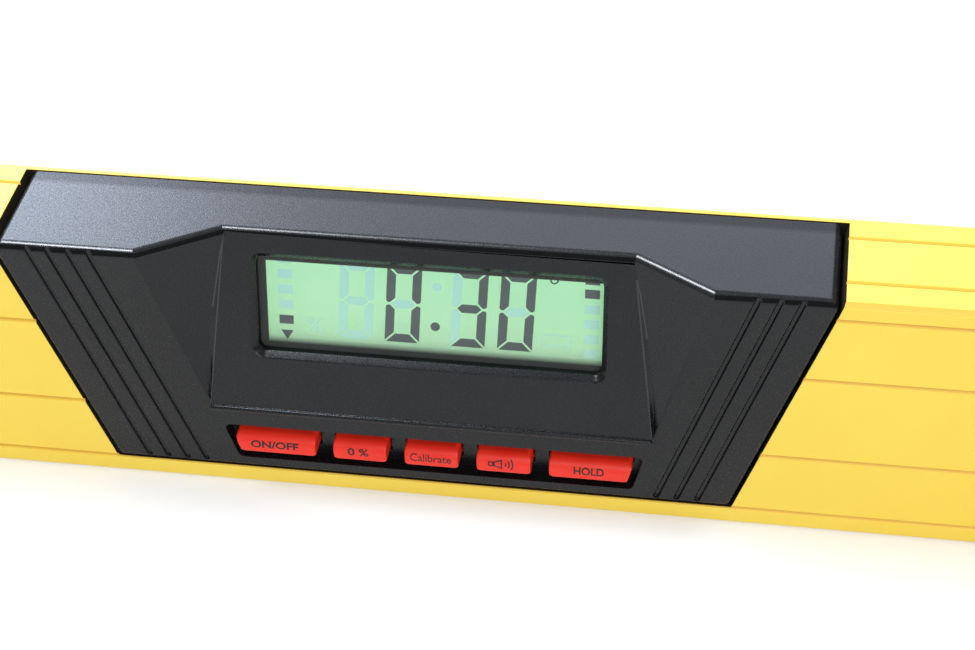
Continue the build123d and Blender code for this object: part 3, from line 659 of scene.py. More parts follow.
def recast(node: str, finish: Finish, body: Body, slot: str, edge: float = 0.0) -> Object:
    """Show a solid by a merged copy, smooth on its round faces.

    Args:
        node: Name of the solid's node.
        finish: Its finish.
        body: Body that it rides on.
        slot: Material slot of the record that it belongs to.
        edge: Width of the rounding on its sharp edges, in metres.

    Returns:
        The piece.
    """
    mesh = node_mesh(node)
    if edge:
        soften(mesh, edge)
    return settle(mesh, f"{node}_dressed", finish, body, slot, node)


def dress(finish: Finish, *nodes: str) -> None:
    """Give solids that are shown as they are their finish.

    Args:
        finish: The finish.
        *nodes: Names of the solids' nodes.
    """
    for node in nodes:
        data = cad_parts[node].data
        data.materials.clear()
        data.materials.append(finish.material())
        log.info("%s: %s", node, finish.name)


def raise_faces(mesh: BMesh, low: float, high: float) -> None:
    """Turn flat faces on the XY plane into plates.

    Args:
        mesh: The mesh to change.
        low: Height of the plates' undersides.
        high: Height of the plates' tops.
    """
    bmesh.ops.translate(mesh, verts=mesh.verts, vec=(0, 0, low))
    grown = bmesh.ops.extrude_face_region(mesh, geom=mesh.faces[:], use_keep_orig=True)["geom"]
    tops = [item for item in grown if isinstance(item, BMVert)]
    bmesh.ops.translate(mesh, verts=tops, vec=(0, 0, high - low))
    bmesh.ops.recalc_face_normals(mesh, faces=mesh.faces)


def add_face(mesh: BMesh, corners: Iterable[Corner]) -> BMFace:
    """Add a flat face from its corners, which lie in order on the XY plane."""
    return mesh.faces.new([mesh.verts.new((x, y, 0)) for x, y in corners])


def hollow(mesh: BMesh, face: BMFace, line: float) -> None:
    """Leave only an outline of even width of a flat face.

    Args:
        mesh: The mesh that the face is in.
        face: The face.
        line: Width of the outline, in metres.
    """
    face.normal_update()
    bmesh.ops.inset_individual(mesh, faces=[face], thickness=line, use_even_offset=True)
    bmesh.ops.delete(mesh, geom=[face], context="FACES_ONLY")


def add_frame(mesh: BMesh, corners: Iterable[Corner], line: float) -> None:
    """Add a flat outline of even width from its outer corners, which lie in order on the XY plane."""
    hollow(mesh, add_face(mesh, corners), line)


def add_disc(mesh: BMesh, centre: Corner, radius: float, line: float = 0.0) -> None:
    """Add a flat disc, or a ring.

    Args:
        mesh: The mesh to add to.
        centre: Middle of the disc.
        radius: Outer radius, in metres.
        line: Width of the ring's line, in metres, or 0 for a full disc.
    """
    place = Matrix.Translation((*centre, 0))
    made = bmesh.ops.create_circle(mesh, cap_ends=True, segments=DISC_SIDES, radius=radius, matrix=place)
    if line:
        hollow(mesh, made["verts"][0].link_faces[0], line)


def box_corners(centre: Corner, width: float, height: float) -> list[Corner]:
    """Give the corners of an upright rectangle, in order."""
    x, y = centre
    return [(x + i * width / 2, y + j * height / 2) for i, j in ((-1, -1), (1, -1), (1, 1), (-1, 1))]


def add_words(
    mesh: BMesh, words: str, centre: Corner, width: float, height: float, weight: float = 0.0
) -> None:
    """Add flat lettering that fills a rectangle.

    Args:
        mesh: The mesh to add to.
        words: The lettering.
        centre: Middle of the rectangle.
        width: Its width, in metres.
        height: Its height, in metres.
        weight: How far the strokes are thickened, as a share of the letter size.
    """
    curve = bpy.data.curves.new("lettering", "FONT")
    curve.body = words
    curve.offset = weight
    sign = bpy.data.objects.new("lettering", curve)
    bpy.context.scene.collection.objects.link(sign)
    bpy.context.view_layer.update()
    data = bpy.data.meshes.new_from_object(sign.evaluated_get(bpy.context.evaluated_depsgraph_get()))
    spans = [[vertex.co[axis] for vertex in data.vertices] for axis in (0, 1)]
    lows = [min(span) for span in spans]
    sizes = [max(span) - min(span) for span in spans]
    shift = Matrix.Translation((-lows[0] - sizes[0] / 2, -lows[1] - sizes[1] / 2, 0))
    scale = Matrix.Diagonal((width / sizes[0], height / sizes[1], 1, 1))
    data.transform(Matrix.Translation((*centre, 0)) @ scale @ shift)
    mesh.from_mesh(data)
    bpy.data.objects.remove(sign)
    bpy.data.curves.remove(curve)
    bpy.data.meshes.remove(data)


def window_place() -> Matrix:
    """Find the middle of the window's rear face, which lies on the glass.

    Returns:
        The place, with X across, Y up the slope and Z out of the window.
    """
    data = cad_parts["display_window"].data
    out = Vector()
    for face in data.polygons:
        if face.normal.y < FRONT_FACING:
            out += face.normal * face.area
    out.normalize()
    across = Vector((1, 0, 0))
    up = out.cross(across)
    low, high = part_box("display_window")
    middle = (low + high) / 2
    depth = max((vertex.co - middle).dot(out) for vertex in data.vertices)
    turn = Matrix((across, up, out)).transposed().to_4x4()
    return Matrix.Translation(middle - out * depth) @ turn


def islands(mesh: BMesh) -> list[list[BMVert]]:
    """Split a mesh's vertices into its separate bodies.

    Args:
        mesh: The mesh.

    Returns:
        One list of vertices for each body.
    """
    left = set(mesh.verts)
    found = []
    while left:
        body, waiting = [], [left.pop()]
        while waiting:
            vertex = waiting.pop()
            body.append(vertex)
            near = {edge.other_vert(vertex) for edge in vertex.link_edges} & left
            left -= near
            waiting.extend(near)
        found.append(body)
    return found


# Sub-assemblies


@dataclass
class RailAssembly:
    """Yellow rail and its two end caps."""

    rail_edge: float = 0.12 * MM
    cap_edge: float = 0.25 * MM
    # Faces farther than this from the rail's outer faces get painted shade
    painted_shade_start: float = 0.7 * MM

    def build(self) -> None:
        """Dress the rail and the caps."""
        rail = recast("level_rail", YELLOW_COAT_WITH_SHADE, Body.LEVEL, "rail", self.rail_edge)
        self.shade_inside(rail)
        for side in ("left", "right"):
            recast(f"end_cap_{side}", BLACK_CAP, Body.LEVEL, "cap", self.cap_edge)

    def shade_inside(self, rail: Object) -> None:
        """Paint shade, in place of the coat, on the inside of the rail and the cut faces of its openings.

        Args:
            rail: The rail.
        """
        low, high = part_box("level_rail")
        shade_slot = len(rail.data.materials)
        rail.data.materials.append(RAIL_INSIDE_SHADE.material())
        for face in rail.data.polygons:
            _, y, z = face.center
            if min(y - low.y, high.y - y, z - low.z, high.z - z) > self.painted_shade_start:
                face.material_index = shade_slot


@dataclass
class CaseAssembly:
    """Black case of the display module and its rear cover."""

    housing_edge: float = 0.15 * MM
    sill_reach: float = 2.9 * MM
    panel_step: float = 0.1 * MM
    wall_length: float = 25.0 * MM
    wall_parts: int = 12
    side_clear: float = 1.0 * MM
    side_steepness: float = 2.0
    rim_radius: float = 1.75 * MM
    rim_corner: float = math.radians(5.0)

    # Share of a wall's length where its flare starts to fade, and share of the flare that is left at the end
    flare_start: float = 0.45
    flare_end: float = 0.05

    # Bounds on parts of the unit normals of faces
    panel_facing: float = 0.999
    wall_facing: float = 0.9
    sill_facing: float = 0.2
    top_facing: float = 0.995
    rim_lean: float = 0.78
    rim_low: float = 0.35
    rim_turn: float = 0.05

    def build(self) -> None:
        """Dress the case."""
        mesh = node_mesh("front_housing")
        sides = self.ease_panel(mesh)
        lines = [tuple(vertex.co.copy() for vertex in edge.verts) for edge in sides]
        rounded = soften(mesh, self.housing_edge, sides)
        self.mark_sides(rounded, lines)
        crisp = self.rim_corners(mesh)
        housing = settle(
            mesh, "front_housing_dressed", BLACK_CASE, Body.LEVEL, "case", "front_housing", crisp=crisp
        )
        for finish in (BLACK_INK_AND_SHADE, BLACK_RIM):
            housing.data.materials.append(finish.material())
        self.shade_sill(housing)
        self.polish_and_shade_rims(housing)
        dress(BLACK_CASE, "rear_cover")
        dress(BLACK_INNER, "lcd_frame")

    def ease_panel(self, mesh: BMesh) -> list[BMEdge]:
        """Run the panel's upper and side edges into the bay, but for a flare at the feet of the sides.

        Args:
            mesh: The case.

        Returns:
            The panel's side edges.
        """
        to_window = window_place().inverted()
        turn = to_window.to_3x3()
        flat = [face for face in mesh.faces if (turn @ face.normal).z > self.panel_facing]
        level = (to_window @ max(flat, key=lambda face: face.calc_area()).verts[0].co).z
        panel = [face for face in flat if abs((to_window @ face.verts[0].co).z - level) < MERGE_DISTANCE]
        walls = {
            wall for face in panel for edge in face.edges for wall in edge.link_faces
            if edge.calc_length() > self.wall_length and abs((turn @ wall.normal).x) > self.wall_facing
        }
        for wall in walls:
            self.flare(mesh, wall, to_window, level)
        top = max((to_window @ vertex.co).y for face in panel for vertex in face.verts)
        step = []
        for vertex in mesh.verts:
            _, y, z = to_window @ vertex.co
            if abs(y - top) < self.panel_step and abs(z - level) < self.panel_step:
                step.append(vertex)
        bmesh.ops.remove_doubles(mesh, verts=step, dist=self.panel_step)
        log.info("panel eased: %d walls, %d corners of the step", len(walls), len(step))
        return self.side_edges(mesh, to_window, level)

    def side_edges(self, mesh: BMesh, to_window: Matrix, level: float) -> list[BMEdge]:
        """Find the panel's side edges.

        Args:
            mesh: The case.
            to_window: Turns a place of the case into the window's own.
            level: Level of the panel's face, in the window's own place.

        Returns:
            The edges.
        """
        low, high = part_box("display_window")
        inner = (high.x - low.x) / 2 + self.side_clear
        sides = []
        for edge in mesh.edges:
            first, second = (to_window @ vertex.co for vertex in edge.verts)
            flush = max(abs(first.z - level), abs(second.z - level)) < MERGE_DISTANCE
            upright = abs(second.y - first.y) > self.side_steepness * abs(second.x - first.x)
            if flush and upright and min(abs(first.x), abs(second.x)) > inner and edge.is_manifold:
                sides.append(edge)
        return sides

    def mark_sides(self, rounded: list[BMFace], lines: list[tuple[Vector, Vector]]) -> None:
        """Mark the roundings along the panel's sides for the smooth finish.

        Args:
            rounded: Faces of all roundings.
            lines: Ends of the edges that the panel's sides had.
        """
        count = 0
        for face in rounded:
            centre = face.calc_center_median()
            for start, end in lines:
                foot, share = intersect_point_line(centre, start, end)
                if 0 <= share <= 1 and (centre - foot).length < self.housing_edge:
                    face.material_index = CaseFace.SMOOTH
                    count += 1
                    break
        log.info("panel sides: %d edges, %d faces of their roundings", len(lines), count)

    def flare(self, mesh: BMesh, wall: BMFace, to_window: Matrix, level: float) -> None:
        """Spread the foot of a panel's side wall over the flank beside it, less and less towards its end.

        Args:
            mesh: The case.
            wall: The wall, which has four corners.
            to_window: Turns a place of the case into the window's own.
            level: Level of the panel's face, in the window's own place.
        """
        low_end = min(wall.verts, key=lambda vertex: (to_window @ vertex.co).z)
        flank = max(low_end.link_faces, key=lambda face: face.calc_area())
        normal = to_window.to_3x3() @ flank.normal
        # The wall's two longest edges run along the panel, and the two others join them
        brow, foot = sorted(wall.edges, key=lambda edge: edge.calc_length())[2:]
        if low_end in brow.verts:
            brow, foot = foot, brow
        start, end = sorted((to_window @ vertex.co for vertex in foot.verts), key=lambda place: -place.y)
        bmesh.ops.subdivide_edges(mesh, edges=[brow, foot], cuts=self.wall_parts - 1)
        for vertex in flank.verts:
            place = to_window @ vertex.co
            share = (start.y - place.y) / (start.y - end.y)
            off = place - start.lerp(end, share)
            if share < SHARE_MARGIN or share > 1 + SHARE_MARGIN or off.length > MERGE_DISTANCE:
                continue
            late = max(0.0, (share - self.flare_start) / (1 - self.flare_start))
            across = -(level - place.z) * normal.z / normal.x * (1 - (1 - self.flare_end) * late)
            moved = place + Vector((across, 0, -across * normal.x / normal.z))
            vertex.co = to_window.inverted() @ moved

    def rim_corners(self, mesh: BMesh) -> list[int]:
        """Find the edges across the rounded rims where these turn a corner.

        Args:
            mesh: The case.

        Returns:
            Numbers of the edges.
        """
        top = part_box("front_housing")[1].z
        mesh.normal_update()
        mesh.edges.index_update()
        found = []
        for edge in mesh.edges:
            on_rim = min(vertex.co.z for vertex in edge.verts) > top - self.rim_radius
            if on_rim and edge.is_manifold:
                first, second = (face.normal.xy for face in edge.link_faces)
                on_top = any(face.normal.z > self.top_facing for face in edge.link_faces)
                if not on_top and first.angle(second, 0.0) > self.rim_corner:
                    found.append(edge.index)
        log.info("rims: %d edges across their corners", len(found))
        return found

    def polish_and_shade_rims(self, housing: Object) -> None:
        """Give the upper part of the rounded rims a smooth face, and paint shade on the lower part in a darker,
        matt black.

        Args:
            housing: The case.
        """
        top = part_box("front_housing")[1].z
        for face in housing.data.polygons:
            x, y, z = face.normal
            on_rim = face.center.z > top - self.rim_radius and self.rim_low < z < self.top_facing
            if on_rim and y < -self.rim_turn:
                upper = z > self.rim_lean or x < self.rim_turn * y / z
                # The lower part of the rim gets painted shade
                face.material_index = CaseFace.SMOOTH if upper else CaseFace.PAINTED_SHADE

    def shade_sill(self, housing: Object) -> None:
        """Paint shade on the walls of the window opening, just in front of the window, in a darker, matt black.

        Args:
            housing: The case.
        """
        to_window = window_place().inverted()
        low, high = (to_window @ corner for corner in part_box("display_window"))
        for face in housing.data.polygons:
            x, y, rise = to_window @ face.center
            inside = low.x < x < high.x and abs(y) < (high.y - low.y) / 2 and 0 < rise < self.sill_reach
            # Painted shade on the walls
            if inside and abs((to_window.to_3x3() @ face.normal).z) < self.sill_facing:
                face.material_index = CaseFace.PAINTED_SHADE


@dataclass
class Display:
    """Window, glass with a painted glow and the marks on it, placed from the middle of the window."""

    digit_width: float = 6.95 * MM
    digit_height: float = 16.66 * MM
    digit_bottom: float = -7.88 * MM
    digit_slant: float = 0.055
    digit_bar: float = 1.8 * MM
    digit_gap: float = 0.28 * MM
    digit_lefts: tuple[float, ...] = (-18.45 * MM, -9.03 * MM, 4.12 * MM, 13.55 * MM)
    digit_values: tuple[frozenset[Segment], ...] = (frozenset(), ZERO, THREE, ZERO)
    point: Corner = (0.82 * MM, -3.94 * MM)
    faint_point: Corner = (1.25 * MM, 4.7 * MM)
    point_radius: float = 0.95 * MM
    degree: Corner = (24.3 * MM, 7.9 * MM)
    degree_radius: float = 0.85 * MM
    degree_line: float = 0.32 * MM
    bar_size: tuple[float, float] = (2.9 * MM, 1.9 * MM)
    left_bars_x: float = -29.3 * MM
    left_bars_faint: tuple[float, ...] = (8.5 * MM, 5.2 * MM, 1.85 * MM, -1.4 * MM)
    left_bars_lit: tuple[float, ...] = (-4.75 * MM,)
    right_bars_x: float = 31.75 * MM
    right_bars_faint: tuple[float, ...] = (2.25 * MM, -1.0 * MM, -4.2 * MM, -7.4 * MM)
    right_bars_lit: tuple[float, ...] = (8.45 * MM, 5.5 * MM)
    arrow: Corner = (-29.25 * MM, -7.7 * MM)
    arrow_radius: float = 1.45 * MM
    percent: Corner = (-23.5 * MM, -5.5 * MM)
    percent_size: tuple[float, float] = (3.4 * MM, 3.2 * MM)
    cell_mark: Corner = (25.0 * MM, -5.1 * MM)
    cell_size: tuple[float, float] = (5.8 * MM, 2.6 * MM)
    cell_line: float = 0.35 * MM
    mask_left: float = -33.05 * MM
    mask_right: float = 34.3 * MM
    mask_low: float = -9.8 * MM
    mask_high: float = 7.95 * MM
    mask_side_margin: float = 0.3 * MM
    mask_end_margin: float = 0.6 * MM
    lit_level: tuple[float, float] = (0.02 * MM, 0.04 * MM)
    faint_level: tuple[float, float] = (0.005 * MM, 0.015 * MM)
    mask_level: tuple[float, float] = (0.05 * MM, 0.07 * MM)
    # Strength of the glow painted into the glass and the faint bars
    glow: float = 0.34
    glass_roughness: tuple[float, float] = (0.3, 0.4)
    lit_tones: tuple[Tone, Tone] = ((185, 227, 188), (180, 229, 193))
    faint_tones: tuple[Tone, Tone] = ((148, 198, 178), (144, 197, 186))

    # Shares of the width of a digit's bar
    digit_tip: float = 0.45
    digit_cut: float = 0.2

    def build(self) -> None:
        """Dress the window and the glass, and draw the marks."""
        lit = self.painted_glow_finish("glass_painted_glow", self.lit_tones)
        faint = self.painted_glow_finish("faint_bars", self.faint_tones)
        dress(lit, "lcd_glass")
        dress(WINDOW, "display_window")
        dress(LIGHT_GUIDE, "backlight_panel")
        dress(STRIPED_RUBBER, "zebra_strip")
        self.draw("display_marks", self.lit_marks(), DISPLAY_BARS, self.lit_level)
        self.draw("display_faint_marks", self.faint_marks(), faint, self.faint_level)
        self.draw("display_border", self.border(), BLACK_INK_AND_SHADE, self.mask_level)

    def painted_glow_finish(self, name: str, tones: tuple[Tone, Tone]) -> PaintedGlowFinish:
        """Make a finish with a painted glow over the part of the glass that shows.

        Args:
            name: Name of the finish.
            tones: Its tones at the lower and the upper edge.

        Returns:
            The finish.
        """
        place = window_place()
        low, high = ((place @ Vector((0, edge, 0))).z for edge in (self.mask_low, self.mask_high))
        return PaintedGlowFinish(name, tones, self.glass_roughness, low=low, high=high, glow=self.glow)

    def draw(self, name: str, mesh: BMesh, finish: Finish, level: tuple[float, float]) -> None:
        """Put flat marks on the glass.

        Args:
            name: Name of the piece.
            mesh: Marks on the XY plane.
            finish: Their finish.
            level: Heights of their undersides and tops above the glass.
        """
        raise_faces(mesh, *level)
        mesh.transform(window_place())
        settle(mesh, name, finish, Body.LEVEL, "lcd")

    def bar_corners(self, form: BarForm) -> list[Corner]:
        """Draw the plain form of a digit's bar.

        Args:
            form: The form.

        Returns:
            The corners in order, from the digit's lower left corner.
        """
        width, height, bar, gap = self.digit_width, self.digit_height, self.digit_bar, self.digit_gap
        middle = height / 2
        tip = self.digit_tip * bar + gap
        cut = self.digit_cut * bar
        if form is BarForm.CROSS:
            low = height - bar
            return [(gap, height), (width - gap, height), (width - bar - gap, low), (bar + gap, low)]
        if form is BarForm.SIDE:
            return [
                (0, height - gap), (bar, height - bar - gap), (bar, middle + bar - tip + 2 * gap),
                (tip - gap, middle + gap), (cut, middle + gap), (0, middle + gap + cut),
            ]
        left, right = tip + bar / 2, width - tip - bar / 2
        low, high = middle - bar / 2, middle + bar / 2
        return [(tip, middle), (left, high), (right, high), (width - tip, middle), (right, low), (left, low)]

    def add_digit(self, mesh: BMesh, left: float, bars: Iterable[Segment]) -> None:
        """Add some bars of a digit.

        Args:
            mesh: The mesh to add to.
            left: Place of the digit's left edge at the height of the window's middle.
            bars: The bars.
        """
        for bar in bars:
            form, flip_x, flip_y = bar.value
            corners = []
            for x, y in self.bar_corners(form):
                x = self.digit_width - x if flip_x else x
                y = (self.digit_height - y if flip_y else y) + self.digit_bottom
                corners.append((left + x + self.digit_slant * y, y))
            add_face(mesh, corners)

    def ordered(self, bars: frozenset[Segment]) -> list[Segment]:
        """Put bars in one fixed order."""
        return [bar for bar in Segment if bar in bars]

    def border(self) -> BMesh:
        """Draw the black border round the part of the glass that shows, out to the rim of the window.

        Returns:
            The border on the XY plane.
        """
        low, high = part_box("display_window")
        slope = window_place().col[1].z
        half_width = (high.x - low.x) / 2 - self.mask_side_margin
        half_height = (high.z - low.z) / 2 / slope - self.mask_end_margin
        columns = (-half_width, self.mask_left, self.mask_right, half_width)
        rows = (-half_height, self.mask_low, self.mask_high, half_height)
        mesh = bmesh.new()
        for (left, right), (bottom, top) in product(pairwise(columns), pairwise(rows)):
            if (left, bottom) != (self.mask_left, self.mask_low):
                add_face(mesh, [(left, bottom), (right, bottom), (right, top), (left, top)])
        bmesh.ops.remove_doubles(mesh, verts=mesh.verts, dist=MERGE_DISTANCE)
        return mesh

    def lit_marks(self) -> BMesh:
        """Draw the dark marks: the reading, its point and unit, and the two rows of bars.

        Returns:
            The marks on the XY plane.
        """
        mesh = bmesh.new()
        for left, value in zip(self.digit_lefts, self.digit_values):
            self.add_digit(mesh, left, self.ordered(value))
        add_disc(mesh, self.point, self.point_radius)
        add_disc(mesh, self.degree, self.degree_radius, self.degree_line)
        for x, rows in ((self.left_bars_x, self.left_bars_lit), (self.right_bars_x, self.right_bars_lit)):
            for y in rows:
                add_face(mesh, box_corners((x, y), *self.bar_size))
        x, y = self.arrow
        half = self.arrow_radius * math.sqrt(3) / 2
        add_face(mesh, [(x, y - self.arrow_radius), (x + half, y + half / 2), (x - half, y + half / 2)])
        return mesh

    def faint_marks(self) -> BMesh:
        """Draw the marks that are off and barely show.

        Returns:
            The marks on the XY plane.
        """
        mesh = bmesh.new()
        for left, value in zip(self.digit_lefts, self.digit_values):
            self.add_digit(mesh, left, self.ordered(EIGHT - value))
        add_disc(mesh, self.faint_point, self.point_radius)
        for x, rows in ((self.left_bars_x, self.left_bars_faint), (self.right_bars_x, self.right_bars_faint)):
            for y in rows:
                add_face(mesh, box_corners((x, y), *self.bar_size))
        add_frame(mesh, box_corners(self.cell_mark, *self.cell_size), self.cell_line)
        add_words(mesh, "%", self.percent, *self.percent_size)
        return mesh


@dataclass(frozen=True)
class Legend:
    """Print on one key: its words, or a sounder's sign where it has none."""

    key: str
    body: Body
    words: str
    width: float
    height: float
    shift: float
    weight: float = 0.0


@dataclass
class KeyRow:
    """Five red keys with their print, and the plungers behind them."""

    legends: tuple[Legend, ...] = (
        Legend("on_off", Body.ON_OFF, "ON/OFF", 10.0 * MM, 1.75 * MM, shift=0.1 * MM, weight=0.03),
        Legend("zero", Body.ZERO, "0 %", 4.3 * MM, 1.8 * MM, shift=-0.3 * MM, weight=0.02),
        Legend("calibrate", Body.CALIBRATE, "Calibrate", 8.4 * MM, 1.9 * MM, shift=-0.1 * MM, weight=0.005),
        Legend("sound", Body.SOUND, "", 5.6 * MM, 2.3 * MM, shift=-0.3 * MM),
        Legend("hold", Body.HOLD, "HOLD", 6.1 * MM, 1.85 * MM, shift=-0.5 * MM, weight=0.02),
    )
    key_edge: float = 0.40 * MM
    flange: float = 1.1 * MM
    brow_radius: float = 2.4 * MM
    print_rise: float = 2.4 * MM
    print_level: tuple[float, float] = (0.01 * MM, 0.03 * MM)
    print_rows: int = 12
    sliver: float = 0.0005 * MM
    sign_line: float = 0.28 * MM
    sign_arcs: tuple[float, ...] = (0.9 * MM, 1.6 * MM, 2.3 * MM)
    sign_spread: float = math.radians(34.0)
    sign_steps: int = 10

    # Shares of the height of the sounder's sign
    sign_box: float = 0.5
    sign_mouth: float = 1.25

    def build(self) -> None:
        """Dress the keys and plungers, and print the keys."""
        for legend in self.legends:
            recast(f"button_{legend.key}", RED_KEY, legend.body, "key", self.key_edge)
            dress(BLACK_INNER, f"plunger_{legend.key}")
            self.print_key(legend)

    def print_key(self, legend: Legend) -> None:
        """Print one key.

        Args:
            legend: What is printed.
        """
        mesh = bmesh.new()
        if legend.words:
            add_words(mesh, legend.words, (0, 0), legend.width, legend.height, legend.weight)
        else:
            self.add_sounder_sign(mesh, legend.width, legend.height)
        raise_faces(mesh, *self.print_level)
        for row in range(1, self.print_rows):
            y = legend.height * (row / self.print_rows - 0.5)
            whole = mesh.verts[:] + mesh.edges[:] + mesh.faces[:]
            bmesh.ops.bisect_plane(mesh, geom=whole, plane_co=(0, y, 0), plane_no=(0, 1, 0))
        bmesh.ops.dissolve_degenerate(mesh, dist=self.sliver, edges=mesh.edges[:])
        self.wrap(mesh, legend)
        settle(mesh, f"print_{legend.key}", KEY_PRINT, legend.body, "key")

    def wrap(self, mesh: BMesh, legend: Legend) -> None:
        """Lay flat print on a key's face and round its brow.

        Args:
            mesh: Print on the XY plane, about its own middle.
            legend: What is printed.
        """
        low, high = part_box(f"button_{legend.key}")
        middle = (low.x + high.x) / 2 + legend.shift
        bottom, top = low.z + self.flange, high.z - self.flange
        brow = top - self.brow_radius
        for vertex in mesh.verts:
            x, y, level = vertex.co
            rise = bottom + self.print_rise + y
            turn = max(0.0, rise - brow) / self.brow_radius
            depth = low.y + self.brow_radius * (1 - math.cos(turn)) - level * math.cos(turn)
            height = min(rise, brow) + self.brow_radius * math.sin(turn) + level * math.sin(turn)
            vertex.co = (middle + x, depth, height)

    def add_sounder_sign(self, mesh: BMesh, width: float, height: float) -> None:
        """Add the outline of a small horn with three waves.

        Args:
            mesh: The mesh to add to.
            width: Width of the sign, in metres.
            height: Height of the sign, in metres.
        """
        left, box = -width / 2, self.sign_box * height
        mouth = left + self.sign_mouth * height
        add_frame(mesh, box_corners((left + box / 2, 0), box, box), self.sign_line)
        horn = [(left + box, -box / 2), (mouth, -height / 2), (mouth, height / 2), (left + box, box / 2)]
        add_frame(mesh, horn, self.sign_line)
        centre = Vector((mouth, 0, 0))
        for radius in self.sign_arcs:
            start = [mesh.verts.new(centre + Vector((r, 0, 0))) for r in (radius - self.sign_line, radius)]
            edge = mesh.edges.new(start)
            turned = Matrix.Rotation(-self.sign_spread, 3, "Z")
            bmesh.ops.rotate(mesh, verts=start, cent=centre, matrix=turned)
            bmesh.ops.spin(
                mesh, geom=[edge, *start], cent=centre, axis=(0, 0, 1), angle=2 * self.sign_spread,
                steps=self.sign_steps, use_merge=False,
            )


@dataclass
class Electronics:
    """Boards, packages and leads inside the case."""

    def build(self) -> None:
        """Dress the pieces that stay inside."""
        dress(BOARD, "main_board", "key_board")
        dress(CHIP, "microcontroller", "switch_bodies", "buzzer")
        dress(SENSOR, "tilt_sensor")
        dress(BARE_CAN, "board_parts")
        dress(FILM, "flex_ribbon")
        dress(LEAD, "battery_leads", "buzzer_leads")


@dataclass
class BatteryBay:
    """Cells, contacts and the door in the rail's rear wall."""

    door_edge: float = 0.2 * MM
    cell_edge: float = 0.3 * MM
    sleeve_tones: tuple[Tone, Tone] = ((58, 66, 78), (196, 200, 204))
    sleeve_roughness: tuple[float, float] = (0.25, 0.35)

    def build(self) -> None:
        """Dress the door, the cells and the contacts."""
        recast("battery_door", BLACK_CASE, Body.DOOR, "case", self.door_edge)
        low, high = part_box("batteries")
        middle = (low.z + high.z) / 2
        sleeve = SleeveFinish("cell_sleeve", self.sleeve_tones, self.sleeve_roughness, middle=middle)
        recast("batteries", sleeve, Body.LEVEL, "cell", self.cell_edge)
        dress(PLATED, "battery_contacts")


@dataclass
class Fasteners:
    """Screws; those in the rail's rear wall show their cross recesses."""

    recess_width: float = 0.8 * MM
    recess_length: float = 3.2 * MM
    recess_depth: float = 1.0 * MM

    def build(self) -> None:
        """Dress the screws and cut the recesses that show."""
        dress(SCREW, "case_screws", "board_screws", "key_board_screws")
        screws = node_mesh("module_screws")
        heads = []
        for body in islands(screws):
            rear = max(vertex.co.y for vertex in body)
            rim = [vertex.co for vertex in body if vertex.co.y > rear - MERGE_DISTANCE]
            heads.append(sum(rim, Vector()) / len(rim))
        piece = settle(screws, "module_screws_dressed", SCREW, Body.LEVEL, "screw", "module_screws")
        self.cut(piece, heads)

    def cut(self, piece: Object, heads: list[Vector]) -> None:
        """Cut a cross recess into each screw head.

        Args:
            piece: The screws.
            heads: Middles of their heads' faces.
        """
        tool = bmesh.new()
        long, narrow = self.recess_length, self.recess_width
        for head in heads:
            for width, height in ((long, narrow), (narrow, long)):
                # Each block is centred on the head's face, so that only its inner half cuts
                scale = Matrix.Diagonal((width, 2 * self.recess_depth, height, 1))
                bmesh.ops.create_cube(tool, size=1.0, matrix=Matrix.Translation(head) @ scale)
        data = bpy.data.meshes.new("recess_tool")
        tool.to_mesh(data)
        tool.free()
        cutter = bpy.data.objects.new("recess_tool", data)
        bpy.context.scene.collection.objects.link(cutter)
        cut = piece.modifiers.new("recess", "BOOLEAN")
        cut.object, cut.operation, cut.solver, cut.use_self = cutter, "DIFFERENCE", "EXACT", True
        apply_modifiers(piece)
        bpy.data.objects.remove(cutter)
        bpy.data.meshes.remove(data)


@dataclass
class Vials:
    """The two vials and their holders."""

    holder_edge: float = 0.3 * MM

    def build(self) -> None:
        """Dress the vials."""
        for kind in ("level", "plumb"):
            recast(f"{kind}_vial_holder", BLACK_CAP, Body.LEVEL, "holder", self.holder_edge)
            recast(f"{kind}_vial_tube", VIAL, Body.LEVEL, "vial")
            recast(f"{kind}_vial_liquid", LIQUID, Body.LEVEL, "liquid")
            recast(f"{kind}_vial_rings", RING_INK, Body.LEVEL, "ring")
            recast(f"{kind}_vial_plugs", PALE_PLUG, Body.LEVEL, "plug")


# Stage


@dataclass(frozen=True)
class Lamp:
    """A soft rectangular lamp that points at the object."""

    name: str
    place: tuple[float, float, float]
    size: tuple[float, float]
    power: float
    tone: Tone
    aim: tuple[float, float, float] = (0.0, 0.0, 0.03)


